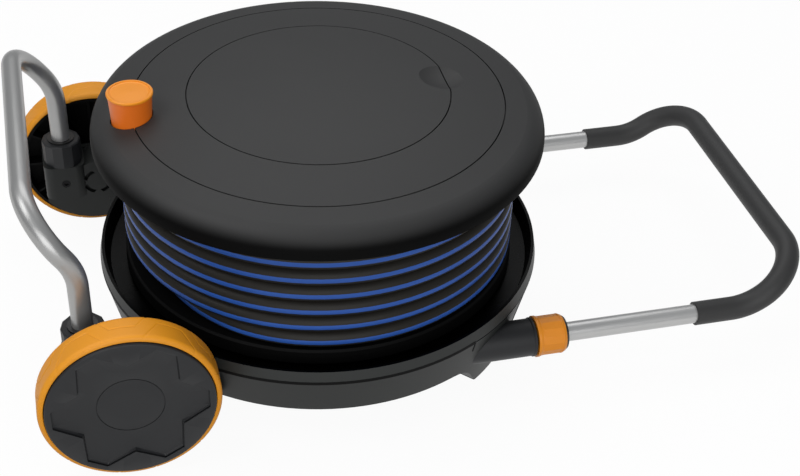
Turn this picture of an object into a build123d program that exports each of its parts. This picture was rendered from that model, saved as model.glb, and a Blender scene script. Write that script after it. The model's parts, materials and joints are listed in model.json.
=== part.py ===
from build123d import *
import os
from math import atan2, cos, radians, sin, sqrt

# Garden hose reel cart: a hose drum that turns flat on a wheeled base, with a
# telescopic pull handle at the front (+X) and a stand hoop at the wheels (-X).
# Millimetres. Origin on the reel's axis at floor level, +Z up, axle along Y.

# ---------------------------------------------------------------- clearances
TOUCH = 0.05        # snug seat between round faces of one body
RUNNING = 0.05      # radial clearance of a shaft in its bearing
SLIDING = 0.08      # radial clearance of the telescopic arms in their bushes
SEAT = 0.3          # gap between curved faces that lie against each other
SEAM = 1.2          # width of a visible joint between two mouldings

# ---------------------------------------------------------------- hose and drum
HOSE_OD = 17.8
HOSE_TURNS = 6            # turns stacked in one layer
HOSE_LAYERS = 3
DRUM_R = 138.8            # outside of the drum the hose is wound on
DRUM_WALL = 3.0
WINDING_Z = 93.9         # underside of the lowest turn
HOSE_END_LENGTH = 46.0    # crimped fitting on the free end
HOSE_END_ANGLE = 92.0     # where the free end lies, degrees from +X
FITTING_BORE = 5.0

# ---------------------------------------------------------------- lower flange and bearing
FLANGE_PLATE = 3.0
PLATE_RIB_COUNT = 12
LOWER_FLANGE_MARGIN = 1.3  # how far its edge stands out past the hose
LOWER_FLANGE_T = 4.0
LOWER_LIP = 14.0          # depth of the lip turned down at its edge
BEARING_R = 48.0          # bore of the reel hub
HUB_WALL = 4.0
HUB_DEPTH = 12.0
BEARING_WASHER = 3.0
RETAINER_T = 3.0
LOWER_CENTRE_R = 24.0

# ---------------------------------------------------------------- upper flange
FLANGE_R = 216.5          # widest radius of the bullnose
BULLNOSE_R = 22.9         # radius of the rounded rim, tangent to the dome
RIM_LIP_Z = 215.3         # lower edge of the rim
RIM_RING_GAP = 1.8        # between the hose and the ring the rim stands on
LEDGE_T = 2.0             # ledge of the rim that the panel rests on
LEDGE_DEPTH = 8.0
EDGE = 0.5                # small broken edge
CROWN_Z = 259.8           # top of the slightly domed lid
CROWN_RADIUS = 1020.0     # sphere radius of the dome
SKIN = 3.0
RIM_SEAM_R = 177.0
CUP_GAP = 16.8            # between the drum and the storage cup inside it
CUP_WALL = 2.5
CUP_FLOOR_Z = 140.0
CUP_LIP = 9.0             # width of the cup's flange past the lid's seam
LID_SEAL_T = 2.2
DIMPLE_R = 21.5
DIMPLE_DEPTH = 5.0
SKIRT_GAP = 1.5           # between the lid's skirt and the cup
SKIRT_WALL = 2.0
SKIRT_DEPTH = 3.0

# ---------------------------------------------------------------- crank knob
KNOB_RADIUS_AT = 176.5    # distance of the knob from the reel axis
KNOB_HEIGHT = 39.5
KNOB_FOOT_Z = 232.0
KNOB_TOP_R = 21.5
KNOB_FOOT_R = 18.8
KNOB_RIM_H = 3.2
KNOB_CAP_R = 19.0
KNOB_CAP_T = 2.4
KNOB_PIN_R = 4.0
KNOB_POCKET = 1.3         # gap round the foot of the knob
POST_R = 12.0

# ---------------------------------------------------------------- base and tray
RIM_R = 217.0             # outside of the tray rim
RIM_TOP_Z = 90.0
PARTING_Z = 77.9
BASE_EDGE_Z = 37.7        # lower edge of the wall between the feet
BASE_EDGE_R = 209.7
FOOT_R = 201.0            # outside of the wall where a foot meets the floor
FOOT_ANGLE = 46.5         # degrees each side of +X
FOOT_HALF_WIDTH = 21.0
FOOT_FLARE = 46.0         # length over which the edge sweeps down into a foot
FOOT_DEPTH = 34.0         # radial depth of a foot
FOOT_PAD = 2.5
BASE_WALL = 3.0
TRAY_WALL = 2.8
TRAY_FLOOR_Z = 74.2
TRAY_DRAFT = 5.0          # how much the tray narrows to its floor
TRAY_HUB_R = 44.0
SUPPORT_R = 52.0

# ---------------------------------------------------------------- water path
STEM_R = 11.0
STEM_BORE = 7.0
STEM_TOP_Z = 112.0
STEM_FOOT_Z = 56.5
ROTOR_R = 17.0
ROTOR_CAP = 5.0
ROTOR_FLANGE_R = 34.0
SEAL_H = 2.2
FEED_R = 5.5
FEED_BORE = 4.0
FEED_Z = 65.5
INLET_R = 8.0             # plug of the tap hose's snap coupling
INLET_REACH = 25.0        # how far the inlet stands out of the wall
ELBOW_R = 6.0
ELBOW_BORE = 4.5

# ---------------------------------------------------------------- tubes
TUBE_R = 9.5
TUBE_WALL = 1.5
CORNER_BEND = 52.0        # centre-line radius of the corners
KNEE_BEND = 54.0          # centre-line radius of the two shallow bends
ARM_Y = 160.8             # arms of the handle, each side of the middle
ARM_Z = 48.9
ARM_INNER_X = -2.0       # hidden end of each arm
KNEE_X = 402.9
HANDLE_X = 460.0
HANDLE_Z = 87.1
GRIP_R = 11.8
GRIP_START_X = 347.0
CHANNEL_WALL = 3.0
CHANNEL_GAP = 1.0
LEG_X = -243.3            # legs of the stand hoop
LEG_Y = 153.0
LEG_FOOT_Z = 68.0
HOOP_KNEE_Z = 191.9
HOOP_X = -280.7
HOOP_Z = 248.6
HOOP_CORNER_BEND = 50.0
HOOP_KNEE_BEND = 56.0

# ---------------------------------------------------------------- arm sockets and twist collars
SOCKET_R = 18.4
SOCKET_END_X = 178.0
SOCKET_LIP = 3.5
SOCKET_LIP_R = 19.2
SOCKET_INNER_X = 104.0
BUSH_R = 12.6
COLLET_LENGTH = 12.0
COLLAR_R = 19.4
COLLAR_START_X = 179.0
COLLAR_END_X = 207.6
COLLAR_RIDGE_COUNT = 16
RIDGE_DEPTH = 0.35        # shallow flat facets round the collar
BUSH_FLANGE_T = 2.4
BUSH_FLANGE_R = 16.6

# ---------------------------------------------------------------- hoop nuts and brackets
NUT_R = 19.8
NUT_FOOT_Z = 105.3
NUT_TOP_Z = 131.0
NUT_FLAT_COUNT = 12
BRACKET_LEFT_X = -264.5
BRACKET_FACE_Y = 135.0
BRACKET_BACK_Y = 178.0
BRACKET_PLATE_T = 6.0
BRACKET_PLATE_R = 68.0
AXLE_BOSS_R = 25.0
AXLE_BOSS_Y = 140.0
AXLE_SLOT_R = 12.8
AXLE_SLOT_W = 4.0
SCREW_HEAD_R = 4.2

# ---------------------------------------------------------------- wheels
WHEEL_R = 80.6
AXLE_X = -210.8
AXLE_R = 6.0
WHEEL_INNER_Y = 183.6
WHEEL_OUTER_Y = 213.7
TYRE_T = 5.4
TYRE_EDGE = 4.5
HUB_CAP_R = 74.8
HUB_CAP_FACE_Y = 210.5
HUB_DISC_Y = 209.7        # sunk disc in the middle of the cap
STAR_FACE_Y = 216.2
STAR_TIP_COUNT = 6
STAR_TIP_R = 69.4
STAR_NOTCH_R = 51.2
STAR_TIP_HALF_ANGLE = 8.2
HUB_RING_R = 29.8
WHEEL_RIB_COUNT = 12
RIB_T = 2.4
WHEEL_HUB_R = 16.0
WHEEL_BUSH_R = 9.0

BASE_TOP_R = 219.0        # outside of the base wall under the parting line
CHANNEL_START_X = -138.0
TRAY_SCREW_ANGLES = (20, 160, 200, 340)
TRAY_SCREW_AT = 185.0
BOSS_R = 6.0
SCREW_R = 2.5
WASHER_IN_R = 30.0
INLET_SOCKET = 2.5        # depth the feed pipe goes into the inlet
INLET_BODY_R = 8.5
INLET_BOSS_R = 11.4
INLET_BOSS_H = 4.0
INLET_NUT_R = 10.8
COLLET_R = 15.3
COLLAR_LIP_R = 20.2
FERRULE_R = 13.6
FERRULE_H = 14.0
BRACKET_TOP_Z = 105.0
BRACKET_ROUND = 10.0
CLAMP_SCREW_Z = 85.0
WEB_START_X = -200.0
WEB_END_X = -128.0
WEB_Z = 42.0
WEB_TOP_Z = 76.0
WEB_SCREW_ANGLE = 137.0
WEB_SCREW_Z = (48, 66)
AXLE_INNER_Y = 150.0
AXLE_END_Y = 206.5
CLIP_Y = 204.4
CLIP_T = 1.3
WEB_Y = 200.0
CAP_SEAT_Y = 207.0

# ---------------------------------------------------------------- worked-out sizes
HOSE_R = HOSE_OD / 2
WINDING_TOP = WINDING_Z + HOSE_TURNS * HOSE_OD
WINDING_R = DRUM_R + HOSE_LAYERS * HOSE_OD
LOWER_FLANGE_R = WINDING_R + LOWER_FLANGE_MARGIN
LOWER_FLANGE_TOP = WINDING_Z - SEAT
LOWER_FLANGE_Z = LOWER_FLANGE_TOP - LOWER_FLANGE_T
FLANGE_UNDER = WINDING_TOP + SEAT
FLANGE_TOP = FLANGE_UNDER + FLANGE_PLATE
WASHER_TOP = LOWER_FLANGE_Z - HUB_WALL
HUB_TOP = WASHER_TOP - BEARING_WASHER
HUB_FOOT = LOWER_FLANGE_Z - HUB_DEPTH
AXLE_Z = WHEEL_R
ARM_CHANNEL_R = TUBE_R + CHANNEL_GAP
TRAY_UNDER = TRAY_FLOOR_Z - TRAY_WALL
FLOOR_TOP = BASE_EDGE_Z + BASE_WALL
CUP_R = DRUM_R - CUP_GAP
LID_SEAM_R = CUP_R + SKIN
CUP_FLANGE_R = LID_SEAM_R + CUP_LIP
KNOB_TOP_Z = KNOB_FOOT_Z + KNOB_HEIGHT
RIM_RING_R = WINDING_R + RIM_RING_GAP
DOME_Z = CROWN_Z - CROWN_RADIUS
BULLNOSE_AT = FLANGE_R - BULLNOSE_R
EQUATOR_Z = DOME_Z + sqrt((CROWN_RADIUS - BULLNOSE_R) ** 2 - BULLNOSE_AT ** 2)
SIDES = {"left": 1, "right": -1}
FULL_TURN = 360


def crown(r, inset=0):
    """Height of the domed top, or of the surface inset below it, at a distance from the reel axis."""
    return DOME_Z + sqrt((CROWN_RADIUS - inset) ** 2 - r ** 2)


def dome_arc(r0, r1, inset=0):
    """Outline of the domed top between two distances from the reel axis."""
    return ThreePointArc(*[(r, crown(r, inset)) for r in (r0, (r0 + r1) / 2, r1)])


CUP_RIM_Z = crown(LID_SEAM_R, SKIN) - SEAT


def ring(r_in, r_out, z0, z1):
    """A plain ring about the reel axis."""
    return Pos(0, 0, (z0 + z1) / 2) * (Cylinder(r_out, z1 - z0) - Cylinder(r_in, z1 - z0))


def disc(radius, z0, z1):
    """A plain disc about the reel axis."""
    return Pos(0, 0, (z0 + z1) / 2) * Cylinder(radius, z1 - z0)


def turned(points):
    """A solid turned about the reel axis from (radius, height) points."""
    return revolve(Plane.XZ * make_face(Polyline(*points, close=True)), Axis.Z)


def rod(radius, start, end):
    """A round bar from one point to another."""
    a = Vector(*start)
    b = Vector(*end)
    along = Plane(origin=a, z_dir=b - a)
    return extrude(along * Circle(radius), (b - a).length)


def tube(r_in, r_out, start, end):
    """A straight pipe from one point to another."""
    a = Vector(*start)
    b = Vector(*end)
    along = Plane(origin=a, z_dir=b - a)
    return extrude(along * (Circle(r_out) - Circle(r_in)), (b - a).length)


def bent(points, radii, r_in, r_out):
    """A bent pipe along straight runs joined by arcs."""
    path = FilletPolyline(*points, radius=radii)
    start = Plane(origin=path @ 0, z_dir=path % 0)
    return sweep(start * (Circle(r_out) - Circle(r_in)), path=path)


def write(name, shape):
    """Write one node's STEP file."""
    export_step(shape, f"parts/{name}.step")


os.makedirs("parts", exist_ok=True)


# ================================================================ upper flange
def bullnose(inset):
    """Outline of the rounded rim from the dome to its widest radius, moved inwards by inset."""
    rise = atan2(EQUATOR_Z - DOME_Z, BULLNOSE_AT)
    radius = BULLNOSE_R - inset
    angles = (rise, rise / 2, 0)
    return ThreePointArc(*[(BULLNOSE_AT + radius * cos(a), EQUATOR_Z + radius * sin(a)) for a in angles])


seam_in = RIM_SEAM_R + SEAM / 2
ledge_r = RIM_SEAM_R - LEDGE_DEPTH
ledge_z = crown(RIM_SEAM_R, SKIN) - SEAT
ledge_root = seam_in + SKIN
ring_foot = RIM_RING_R - FLANGE_PLATE

outer_nose = bullnose(0)
inner_nose = bullnose(SKIN)
rim_face = make_face(
    [
        dome_arc(seam_in, (outer_nose @ 0).X),
        outer_nose,
        Polyline((FLANGE_R, EQUATOR_Z), (FLANGE_R, RIM_LIP_Z + EDGE), (FLANGE_R - EDGE, RIM_LIP_Z),
                 (FLANGE_R - SKIN + EDGE, RIM_LIP_Z), (FLANGE_R - SKIN, RIM_LIP_Z + EDGE),
                 (FLANGE_R - SKIN, EQUATOR_Z)),
        inner_nose,
        dome_arc(RIM_RING_R, (inner_nose @ 0).X, SKIN),
        Polyline((RIM_RING_R, crown(RIM_RING_R, SKIN)), (RIM_RING_R, FLANGE_UNDER),
                 (ring_foot, FLANGE_UNDER), (ring_foot, crown(ring_foot, SKIN))),
        dome_arc(ledge_root, ring_foot, SKIN),
        Polyline((ledge_root, crown(ledge_root, SKIN)), (ledge_root, ledge_z - LEDGE_T),
                 (ledge_r, ledge_z - LEDGE_T), (ledge_r, ledge_z), (seam_in, ledge_z),
                 (seam_in, crown(seam_in))),
    ]
)
flange_rim = revolve(Plane.XZ * rim_face, Axis.Z)

flange_plate = ring(CUP_R + SEAT, ring_foot - SEAT, FLANGE_UNDER, FLANGE_TOP)
rib_top = ledge_z - 2 * SKIN
for k in range(PLATE_RIB_COUNT):
    rib = Pos((CUP_FLANGE_R + ledge_r) / 2, 0, (FLANGE_TOP + rib_top) / 2) * Box(
        ledge_r - CUP_FLANGE_R, SKIN, rib_top - FLANGE_TOP
    )
    flange_plate += Rot(0, 0, FULL_TURN * (k + 0.5) / PLATE_RIB_COUNT) * rib


def under_dome(radius, inset=0):
    """Everything under the domed top out to a radius, down to the storage cup's floor."""
    edge = dome_arc(0, radius, inset)
    rest = Polyline(edge @ 1, (radius, CUP_FLOOR_Z), (0, CUP_FLOOR_Z), edge @ 0)
    return revolve(Plane.XZ * make_face([edge, rest]), Axis.Z)


skin = under_dome(RIM_SEAM_R - SEAM / 2) - under_dome(RIM_SEAM_R, SKIN)

# Finger dimple, half in the lid and half in the panel beside it.
dimple_z = crown(LID_SEAM_R) - DIMPLE_DEPTH
bowl_r = (DIMPLE_R ** 2 + DIMPLE_DEPTH ** 2) / (2 * DIMPLE_DEPTH)
bowl_at = Pos(LID_SEAM_R, 0, dimple_z + bowl_r)
bowl_blank = Pos(LID_SEAM_R, 0, dimple_z) * Cylinder(DIMPLE_R + 4, 2 * (DIMPLE_DEPTH + SKIN))
bowl_shell = bowl_blank & (bowl_at * Sphere(bowl_r + SKIN)) & under_dome(RIM_SEAM_R - SEAM / 2)
skin = (skin + bowl_shell) - bowl_at * Sphere(bowl_r)

lid_r = LID_SEAM_R - SEAM / 2
lid = skin & disc(lid_r, CUP_FLOOR_Z, CROWN_Z + 1)
skirt_r = CUP_R - CUP_WALL - SKIRT_GAP
skirt_top = crown(skirt_r, SKIN / 2)
lid_skirt = ring(skirt_r - SKIRT_WALL, skirt_r, CUP_RIM_Z - SKIRT_DEPTH, skirt_top)
lid = lid + (lid_skirt - bowl_at * Sphere(bowl_r + SKIN / 2))
flange_panel = skin & ring(LID_SEAM_R + SEAM / 2, RIM_SEAM_R - SEAM / 2, CUP_FLOOR_Z, CROWN_Z + 1)

# Pocket round the foot of the knob, through the rim and the panel.
knob_at = Pos(-KNOB_RADIUS_AT, 0, 0)
pocket_r = KNOB_FOOT_R + KNOB_POCKET
pocket = knob_at * disc(pocket_r, KNOB_FOOT_Z - 1, CROWN_Z)
post_flange_r = pocket_r + 2
seat_z = KNOB_FOOT_Z - EDGE
post_top = seat_z + SKIN
flange_rim = flange_rim - pocket - knob_at * disc(post_flange_r + SEAT, FLANGE_TOP, post_top + SEAT)
flange_panel = flange_panel - pocket

# ================================================================ storage cup
cup_top = CUP_RIM_Z
seal_seat = cup_top - LID_SEAL_T
storage_cup = turned(
    [
        (0, CUP_FLOOR_Z), (CUP_R - 6, CUP_FLOOR_Z), (CUP_R, CUP_FLOOR_Z + 6),
        (CUP_R, FLANGE_TOP + SEAT), (CUP_R + 3, FLANGE_TOP + SEAT), (CUP_R + 3, cup_top - 3 * SKIN),
        (CUP_FLANGE_R, cup_top - SKIN), (CUP_FLANGE_R, crown(CUP_FLANGE_R, SKIN) - SEAT),
        (LID_SEAM_R, cup_top),
        (LID_SEAM_R, seal_seat), (CUP_R - CUP_WALL, seal_seat),
        (CUP_R - CUP_WALL, CUP_FLOOR_Z + 6), (CUP_R - CUP_WALL - 4, CUP_FLOOR_Z + CUP_WALL),
        (0, CUP_FLOOR_Z + CUP_WALL),
    ]
)
cup_notch = bowl_at * Sphere(bowl_r + SKIN + SEAT)
storage_cup = storage_cup - cup_notch
lid_seal = ring(CUP_R - CUP_WALL + 0.2, LID_SEAM_R - 1.2, seal_seat, cup_top) - cup_notch

# ================================================================ drum and lower flange
drum_core = ring(DRUM_R - DRUM_WALL, DRUM_R, LOWER_FLANGE_TOP, FLANGE_UNDER)
for k in range(8):
    rib = Pos((CUP_R + DRUM_R) / 2, 0, (WINDING_Z + CUP_FLOOR_Z) / 2) * Box(
        DRUM_R - CUP_R - DRUM_WALL, DRUM_WALL, CUP_FLOOR_Z - WINDING_Z
    )
    drum_core += Rot(0, 0, 22.5 + 45 * k) * rib

elbow_z = WINDING_Z + HOSE_R
elbow_port = rod(ELBOW_R + TOUCH, (DRUM_R - 10, 0, elbow_z), (DRUM_R + 10, 0, elbow_z))
elbow_turn = Rot(0, 0, HOSE_END_ANGLE)
drum_core = drum_core - elbow_turn * elbow_port

flange_bottom = turned(
    [
        (LOWER_CENTRE_R, WASHER_TOP + SEAT), (BEARING_R, WASHER_TOP + SEAT), (BEARING_R, HUB_FOOT),
        (BEARING_R + HUB_WALL, HUB_FOOT), (BEARING_R + HUB_WALL, LOWER_FLANGE_Z),
        (LOWER_FLANGE_R - LOWER_FLANGE_T, LOWER_FLANGE_Z),
        (LOWER_FLANGE_R - FLANGE_PLATE, LOWER_FLANGE_TOP - LOWER_LIP),
        (LOWER_FLANGE_R, LOWER_FLANGE_TOP - LOWER_LIP),
        (LOWER_FLANGE_R - 0.8, LOWER_FLANGE_TOP - 2), (LOWER_FLANGE_R - 2.8, LOWER_FLANGE_TOP),
        (LOWER_CENTRE_R, LOWER_FLANGE_TOP),
    ]
)
for k in range(12):
    rib_span = LOWER_FLANGE_R - BEARING_R - 3 * HUB_WALL
    rib = Pos(BEARING_R + HUB_WALL + rib_span / 2 + 1, 0, LOWER_FLANGE_Z - HUB_WALL) * Box(
        rib_span, FLANGE_PLATE, 2 * HUB_WALL
    )
    flange_bottom += Rot(0, 0, 30 * k) * rib

hub_retainer = ring(TRAY_HUB_R + SEAT, BEARING_R + HUB_WALL, HUB_FOOT - RETAINER_T, HUB_FOOT)

# ================================================================ water path
swivel_stem = turned(
    [
        (STEM_BORE, STEM_FOOT_Z), (STEM_R, STEM_FOOT_Z), (STEM_R, HUB_TOP - 2 * HUB_WALL),
        (STEM_R + 7, HUB_TOP - 2 * HUB_WALL), (STEM_R + 7, HUB_TOP - HUB_WALL),
        (STEM_R, HUB_TOP - HUB_WALL), (STEM_R, STEM_TOP_Z), (STEM_BORE, STEM_TOP_Z),
    ]
)
swivel_stem = swivel_stem + disc(STEM_R, STEM_FOOT_Z, STEM_FOOT_Z + 3)
seal_heights = [elbow_z - 8, elbow_z + 5]
for z in seal_heights:
    swivel_stem = swivel_stem - ring(STEM_R - 1.4, STEM_R + 1, z, z + SEAL_H)
swivel_stem = swivel_stem - rod(FEED_BORE, (0, 0, FEED_Z), (0, STEM_R + 5, FEED_Z))
for side in (-1, 1):
    port = rod(4.5, (0, 0, elbow_z), (side * (STEM_R + 5), 0, elbow_z))
    swivel_stem = swivel_stem - Rot(0, 0, HOSE_END_ANGLE) * port
swivel_seals = Compound(
    children=[ring(STEM_R - 1.35, STEM_R - TOUCH, z + 0.05, z + SEAL_H - 0.05) for z in seal_heights]
)
rotor_z = LOWER_FLANGE_TOP
swivel_rotor = turned(
    [
        (STEM_R + RUNNING, rotor_z), (ROTOR_FLANGE_R, rotor_z), (ROTOR_FLANGE_R, rotor_z + 3),
        (ROTOR_R, rotor_z + 3), (ROTOR_R, STEM_TOP_Z + 1 + ROTOR_CAP), (0, STEM_TOP_Z + 1 + ROTOR_CAP),
        (0, STEM_TOP_Z + 1), (STEM_R + RUNNING, STEM_TOP_Z + 1),
    ]
)
port = rod(ELBOW_BORE, (STEM_R - 2, 0, elbow_z), (ROTOR_R + 5, 0, elbow_z))
swivel_rotor = swivel_rotor - elbow_turn * port
drum_elbow = tube(ELBOW_BORE, ELBOW_R, (ROTOR_R + SEAT, 0, elbow_z), (DRUM_R - SEAT, 0, elbow_z))
drum_elbow = drum_elbow + tube(
    ELBOW_R - TOUCH, ELBOW_R + 2, (DRUM_R - DRUM_WALL - 5, 0, elbow_z), (DRUM_R - DRUM_WALL - 1, 0, elbow_z)
)
drum_elbow = elbow_turn * drum_elbow

# ================================================================ crank knob
knob_post = disc(POST_R, FLANGE_TOP, seat_z - SKIN)
knob_post += disc(post_flange_r, seat_z - SKIN, seat_z)
knob_post += ring(pocket_r, post_flange_r, seat_z, post_top)
knob_pin = disc(KNOB_PIN_R, FLANGE_TOP, KNOB_TOP_Z - KNOB_CAP_T - 2)
knob_pin += disc(KNOB_PIN_R + 2.5, KNOB_TOP_Z - KNOB_CAP_T - 4, KNOB_TOP_Z - KNOB_CAP_T - 2)
knob_post = knob_at * (knob_post - disc(KNOB_PIN_R + TOUCH, FLANGE_TOP - 1, KNOB_TOP_Z))
knob_pin = knob_at * knob_pin

bore = KNOB_PIN_R + RUNNING
head_z = KNOB_TOP_Z - KNOB_CAP_T - 4 - SEAT
knob_side = Spline(
    (KNOB_FOOT_R, KNOB_FOOT_Z + 1.2), (KNOB_FOOT_R + 0.6, (KNOB_FOOT_Z + KNOB_TOP_Z) / 2),
    (KNOB_TOP_R - 0.9, KNOB_TOP_Z - KNOB_RIM_H),
)
knob_outline = make_face(
    [
        knob_side,
        Polyline(knob_side @ 1, (KNOB_TOP_R, KNOB_TOP_Z - KNOB_RIM_H + 0.9), (KNOB_TOP_R, KNOB_TOP_Z - 0.8),
                 (KNOB_TOP_R - 0.8, KNOB_TOP_Z), (KNOB_CAP_R, KNOB_TOP_Z),
                 (KNOB_CAP_R, KNOB_TOP_Z - KNOB_CAP_T), (KNOB_PIN_R + 4, KNOB_TOP_Z - KNOB_CAP_T),
                 (KNOB_PIN_R + 4, head_z), (bore, head_z), (bore, KNOB_FOOT_Z),
                 (KNOB_FOOT_R - 1.2, KNOB_FOOT_Z), knob_side @ 0),
    ]
)
knob_grip = knob_at * revolve(Plane.XZ * knob_outline, Axis.Z)
cap_dish = KNOB_TOP_Z - 0.5
knob_cap = knob_at * turned(
    [
        (0, KNOB_TOP_Z - KNOB_CAP_T), (KNOB_CAP_R - TOUCH, KNOB_TOP_Z - KNOB_CAP_T),
        (KNOB_CAP_R - TOUCH, KNOB_TOP_Z - 0.6), (KNOB_CAP_R - 2, cap_dish - 0.6), (0, cap_dish),
    ]
)

# ================================================================ hose
hose_winding = ring(DRUM_R + SEAT, WINDING_R, WINDING_Z, WINDING_TOP)
end_r = WINDING_R - HOSE_R
end_z = WINDING_TOP - HOSE_R
notch_size = HOSE_OD + 2 * SEAT
notch = ring(WINDING_R - notch_size, WINDING_R + HOSE_R, WINDING_TOP - notch_size, WINDING_TOP + HOSE_R)
notch_cut = Rot(0, 0, HOSE_END_ANGLE) * Pos(WINDING_R, 0, WINDING_TOP) * Box(
    4 * HOSE_OD, HOSE_END_LENGTH, 4 * HOSE_OD
)
hose_winding = hose_winding - (notch & notch_cut)
fitting_r = HOSE_R - 3 * SEAT
fitting_end = HOSE_END_LENGTH / 2 - SEAT
hose_end = Rot(0, 0, HOSE_END_ANGLE) * tube(
    FITTING_BORE, fitting_r, (end_r + 2 * SEAT, -fitting_end, end_z), (end_r + 2 * SEAT, fitting_end, end_z)
)

# ================================================================ base
PARTS = {}


def outside(z):
    """Outer radius of the base wall at a height above its lower edge."""
    return BASE_EDGE_R + (BASE_TOP_R - BASE_EDGE_R) * (z - BASE_EDGE_Z) / (shell_top - BASE_EDGE_Z)


shell_top = PARTING_Z - SEAM / 2
base_shell = turned(
    [
        (0, BASE_EDGE_Z), (BASE_EDGE_R, BASE_EDGE_Z), (BASE_TOP_R, shell_top),
        (BASE_TOP_R - BASE_WALL, shell_top), (outside(FLOOR_TOP) - BASE_WALL, FLOOR_TOP),
        (SUPPORT_R, FLOOR_TOP), (SUPPORT_R, TRAY_UNDER), (SUPPORT_R - BASE_WALL, TRAY_UNDER),
        (SUPPORT_R - BASE_WALL, FLOOR_TOP), (0, FLOOR_TOP),
    ]
)


def foot_outline(inset, top):
    """A foot seen along its radius: a flat sole with edges that sweep up and out."""
    half = FOOT_HALF_WIDTH - inset
    edge = Spline(
        (half, FOOT_PAD + inset), (half + FOOT_FLARE, BASE_EDGE_Z), tangents=((1, 1), (1, 0))
    )
    rest = Polyline(
        edge @ 1, (half + FOOT_FLARE, top), (-half - FOOT_FLARE, top), (-half - FOOT_FLARE, BASE_EDGE_Z)
    )
    return make_face([edge, rest, mirror(edge, Plane.YZ), Line((-half, FOOT_PAD + inset), edge @ 0)])


def foot_blank(inset, top):
    """The foot's outline drawn out along +X, past the wall on both sides."""
    across = Plane(origin=(FOOT_R - 2 * FOOT_DEPTH, 0, 0), x_dir=(0, 1, 0), z_dir=(1, 0, 0))
    return extrude(across * foot_outline(inset, top), 3 * FOOT_DEPTH)


def foot_wall(inset):
    """The ring that a foot is cut from, moved inwards by inset."""
    lean = (BASE_EDGE_R - FOOT_R) / BASE_EDGE_Z
    low = FOOT_R + lean * (FOOT_PAD + inset) - inset
    high = BASE_EDGE_R - inset
    back = FOOT_R - FOOT_DEPTH + inset
    return turned(
        [
            (back, FOOT_PAD + inset), (low, FOOT_PAD + inset), (high, BASE_EDGE_Z),
            (high, FLOOR_TOP + inset), (back, FLOOR_TOP + inset),
        ]
    )


foot = foot_wall(0) & foot_blank(0, FLOOR_TOP)
foot_hollow = foot_wall(BASE_WALL) & foot_blank(BASE_WALL, FLOOR_TOP + BASE_WALL)
foot_pad = ring(FOOT_R - FOOT_DEPTH + 2, FOOT_R - 1.5, 0, FOOT_PAD) & (
    Pos(FOOT_R, 0, 0) * Box(4 * FOOT_DEPTH, 2 * FOOT_HALF_WIDTH - 3, 4 * FOOT_PAD)
)
pads = []
inside_wall = disc(outside(FLOOR_TOP) - BASE_WALL, 0, PARTING_Z)
for side in SIDES.values():
    base_shell = base_shell + Rot(0, 0, side * FOOT_ANGLE) * foot
for side in SIDES.values():
    base_shell = base_shell - Rot(0, 0, side * FOOT_ANGLE) * foot_hollow
    arm = (side * ARM_Y, ARM_Z)
    base_shell = base_shell - rod(SOCKET_R + TOUCH, (SOCKET_INNER_X, *arm), (FLANGE_R + SOCKET_R, *arm))
    channel = rod(ARM_CHANNEL_R + CHANNEL_WALL, (CHANNEL_START_X, *arm), (SOCKET_INNER_X, *arm)) & inside_wall
    bore = rod(ARM_CHANNEL_R, (CHANNEL_START_X, *arm), (SOCKET_INNER_X, *arm)) & inside_wall
    base_shell = (base_shell + channel) - bore
    pads.append(Rot(0, 0, side * FOOT_ANGLE) * foot_pad)
PARTS["foot_pads"] = Compound(children=pads)

# Bosses for the screws that hold the tray down.
tray_screws = []
for angle in TRAY_SCREW_ANGLES:
    at = Rot(0, 0, angle) * Pos(TRAY_SCREW_AT, 0, 0)
    base_shell = base_shell + at * disc(BOSS_R, FLOOR_TOP - TOUCH, TRAY_UNDER)
    base_shell = base_shell - at * disc(SCREW_R + TOUCH, FLOOR_TOP + 2, TRAY_UNDER)
    screw = disc(SCREW_R, FLOOR_TOP + 4, TRAY_FLOOR_Z) + disc(SCREW_HEAD_R, TRAY_FLOOR_Z, TRAY_FLOOR_Z + 2.4)
    tray_screws.append(at * screw)
PARTS["tray_screws"] = Compound(children=tray_screws)

# ================================================================ drip tray
tray_edge = RIM_R - TRAY_WALL
drip_tray = turned(
    [
        (STEM_R + TOUCH, HUB_TOP - HUB_WALL), (STEM_R + TOUCH, HUB_TOP), (BEARING_R - RUNNING, HUB_TOP),
        (BEARING_R - RUNNING, HUB_FOOT + SEAT), (TRAY_HUB_R, HUB_FOOT + SEAT), (TRAY_HUB_R, TRAY_FLOOR_Z),
        (tray_edge - TRAY_DRAFT, TRAY_FLOOR_Z), (tray_edge, RIM_TOP_Z), (RIM_R, RIM_TOP_Z),
        (BASE_TOP_R, PARTING_Z + SEAM / 2), (BASE_TOP_R - SEAM, PARTING_Z + SEAM / 2),
        (BASE_TOP_R - SEAM, shell_top), (outside(shell_top) - BASE_WALL - SEAT, shell_top),
        (outside(TRAY_UNDER) - BASE_WALL - SEAT, TRAY_UNDER), (TRAY_HUB_R - BASE_WALL, TRAY_UNDER),
        (TRAY_HUB_R - BASE_WALL, HUB_TOP - HUB_WALL),
    ]
)
for angle in TRAY_SCREW_ANGLES:
    at = Rot(0, 0, angle) * Pos(TRAY_SCREW_AT, 0, 0)
    drip_tray = drip_tray - at * disc(SCREW_R + TOUCH, TRAY_UNDER - 1, TRAY_FLOOR_Z + 1)
bearing_washer = ring(WASHER_IN_R, BEARING_R - RUNNING, HUB_TOP, WASHER_TOP)

# ================================================================ water feed
inlet_start = outside(shell_top) - BASE_WALL
inlet_seat = inlet_start + INLET_SOCKET
feed_pipe = tube(FEED_BORE, FEED_R, (0, STEM_R - 4, FEED_Z), (0, inlet_seat - SEAT, FEED_Z))
feed_pipe = feed_pipe - disc(STEM_R + TOUCH, STEM_FOOT_Z, FEED_Z + 2 * FEED_R)


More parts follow.
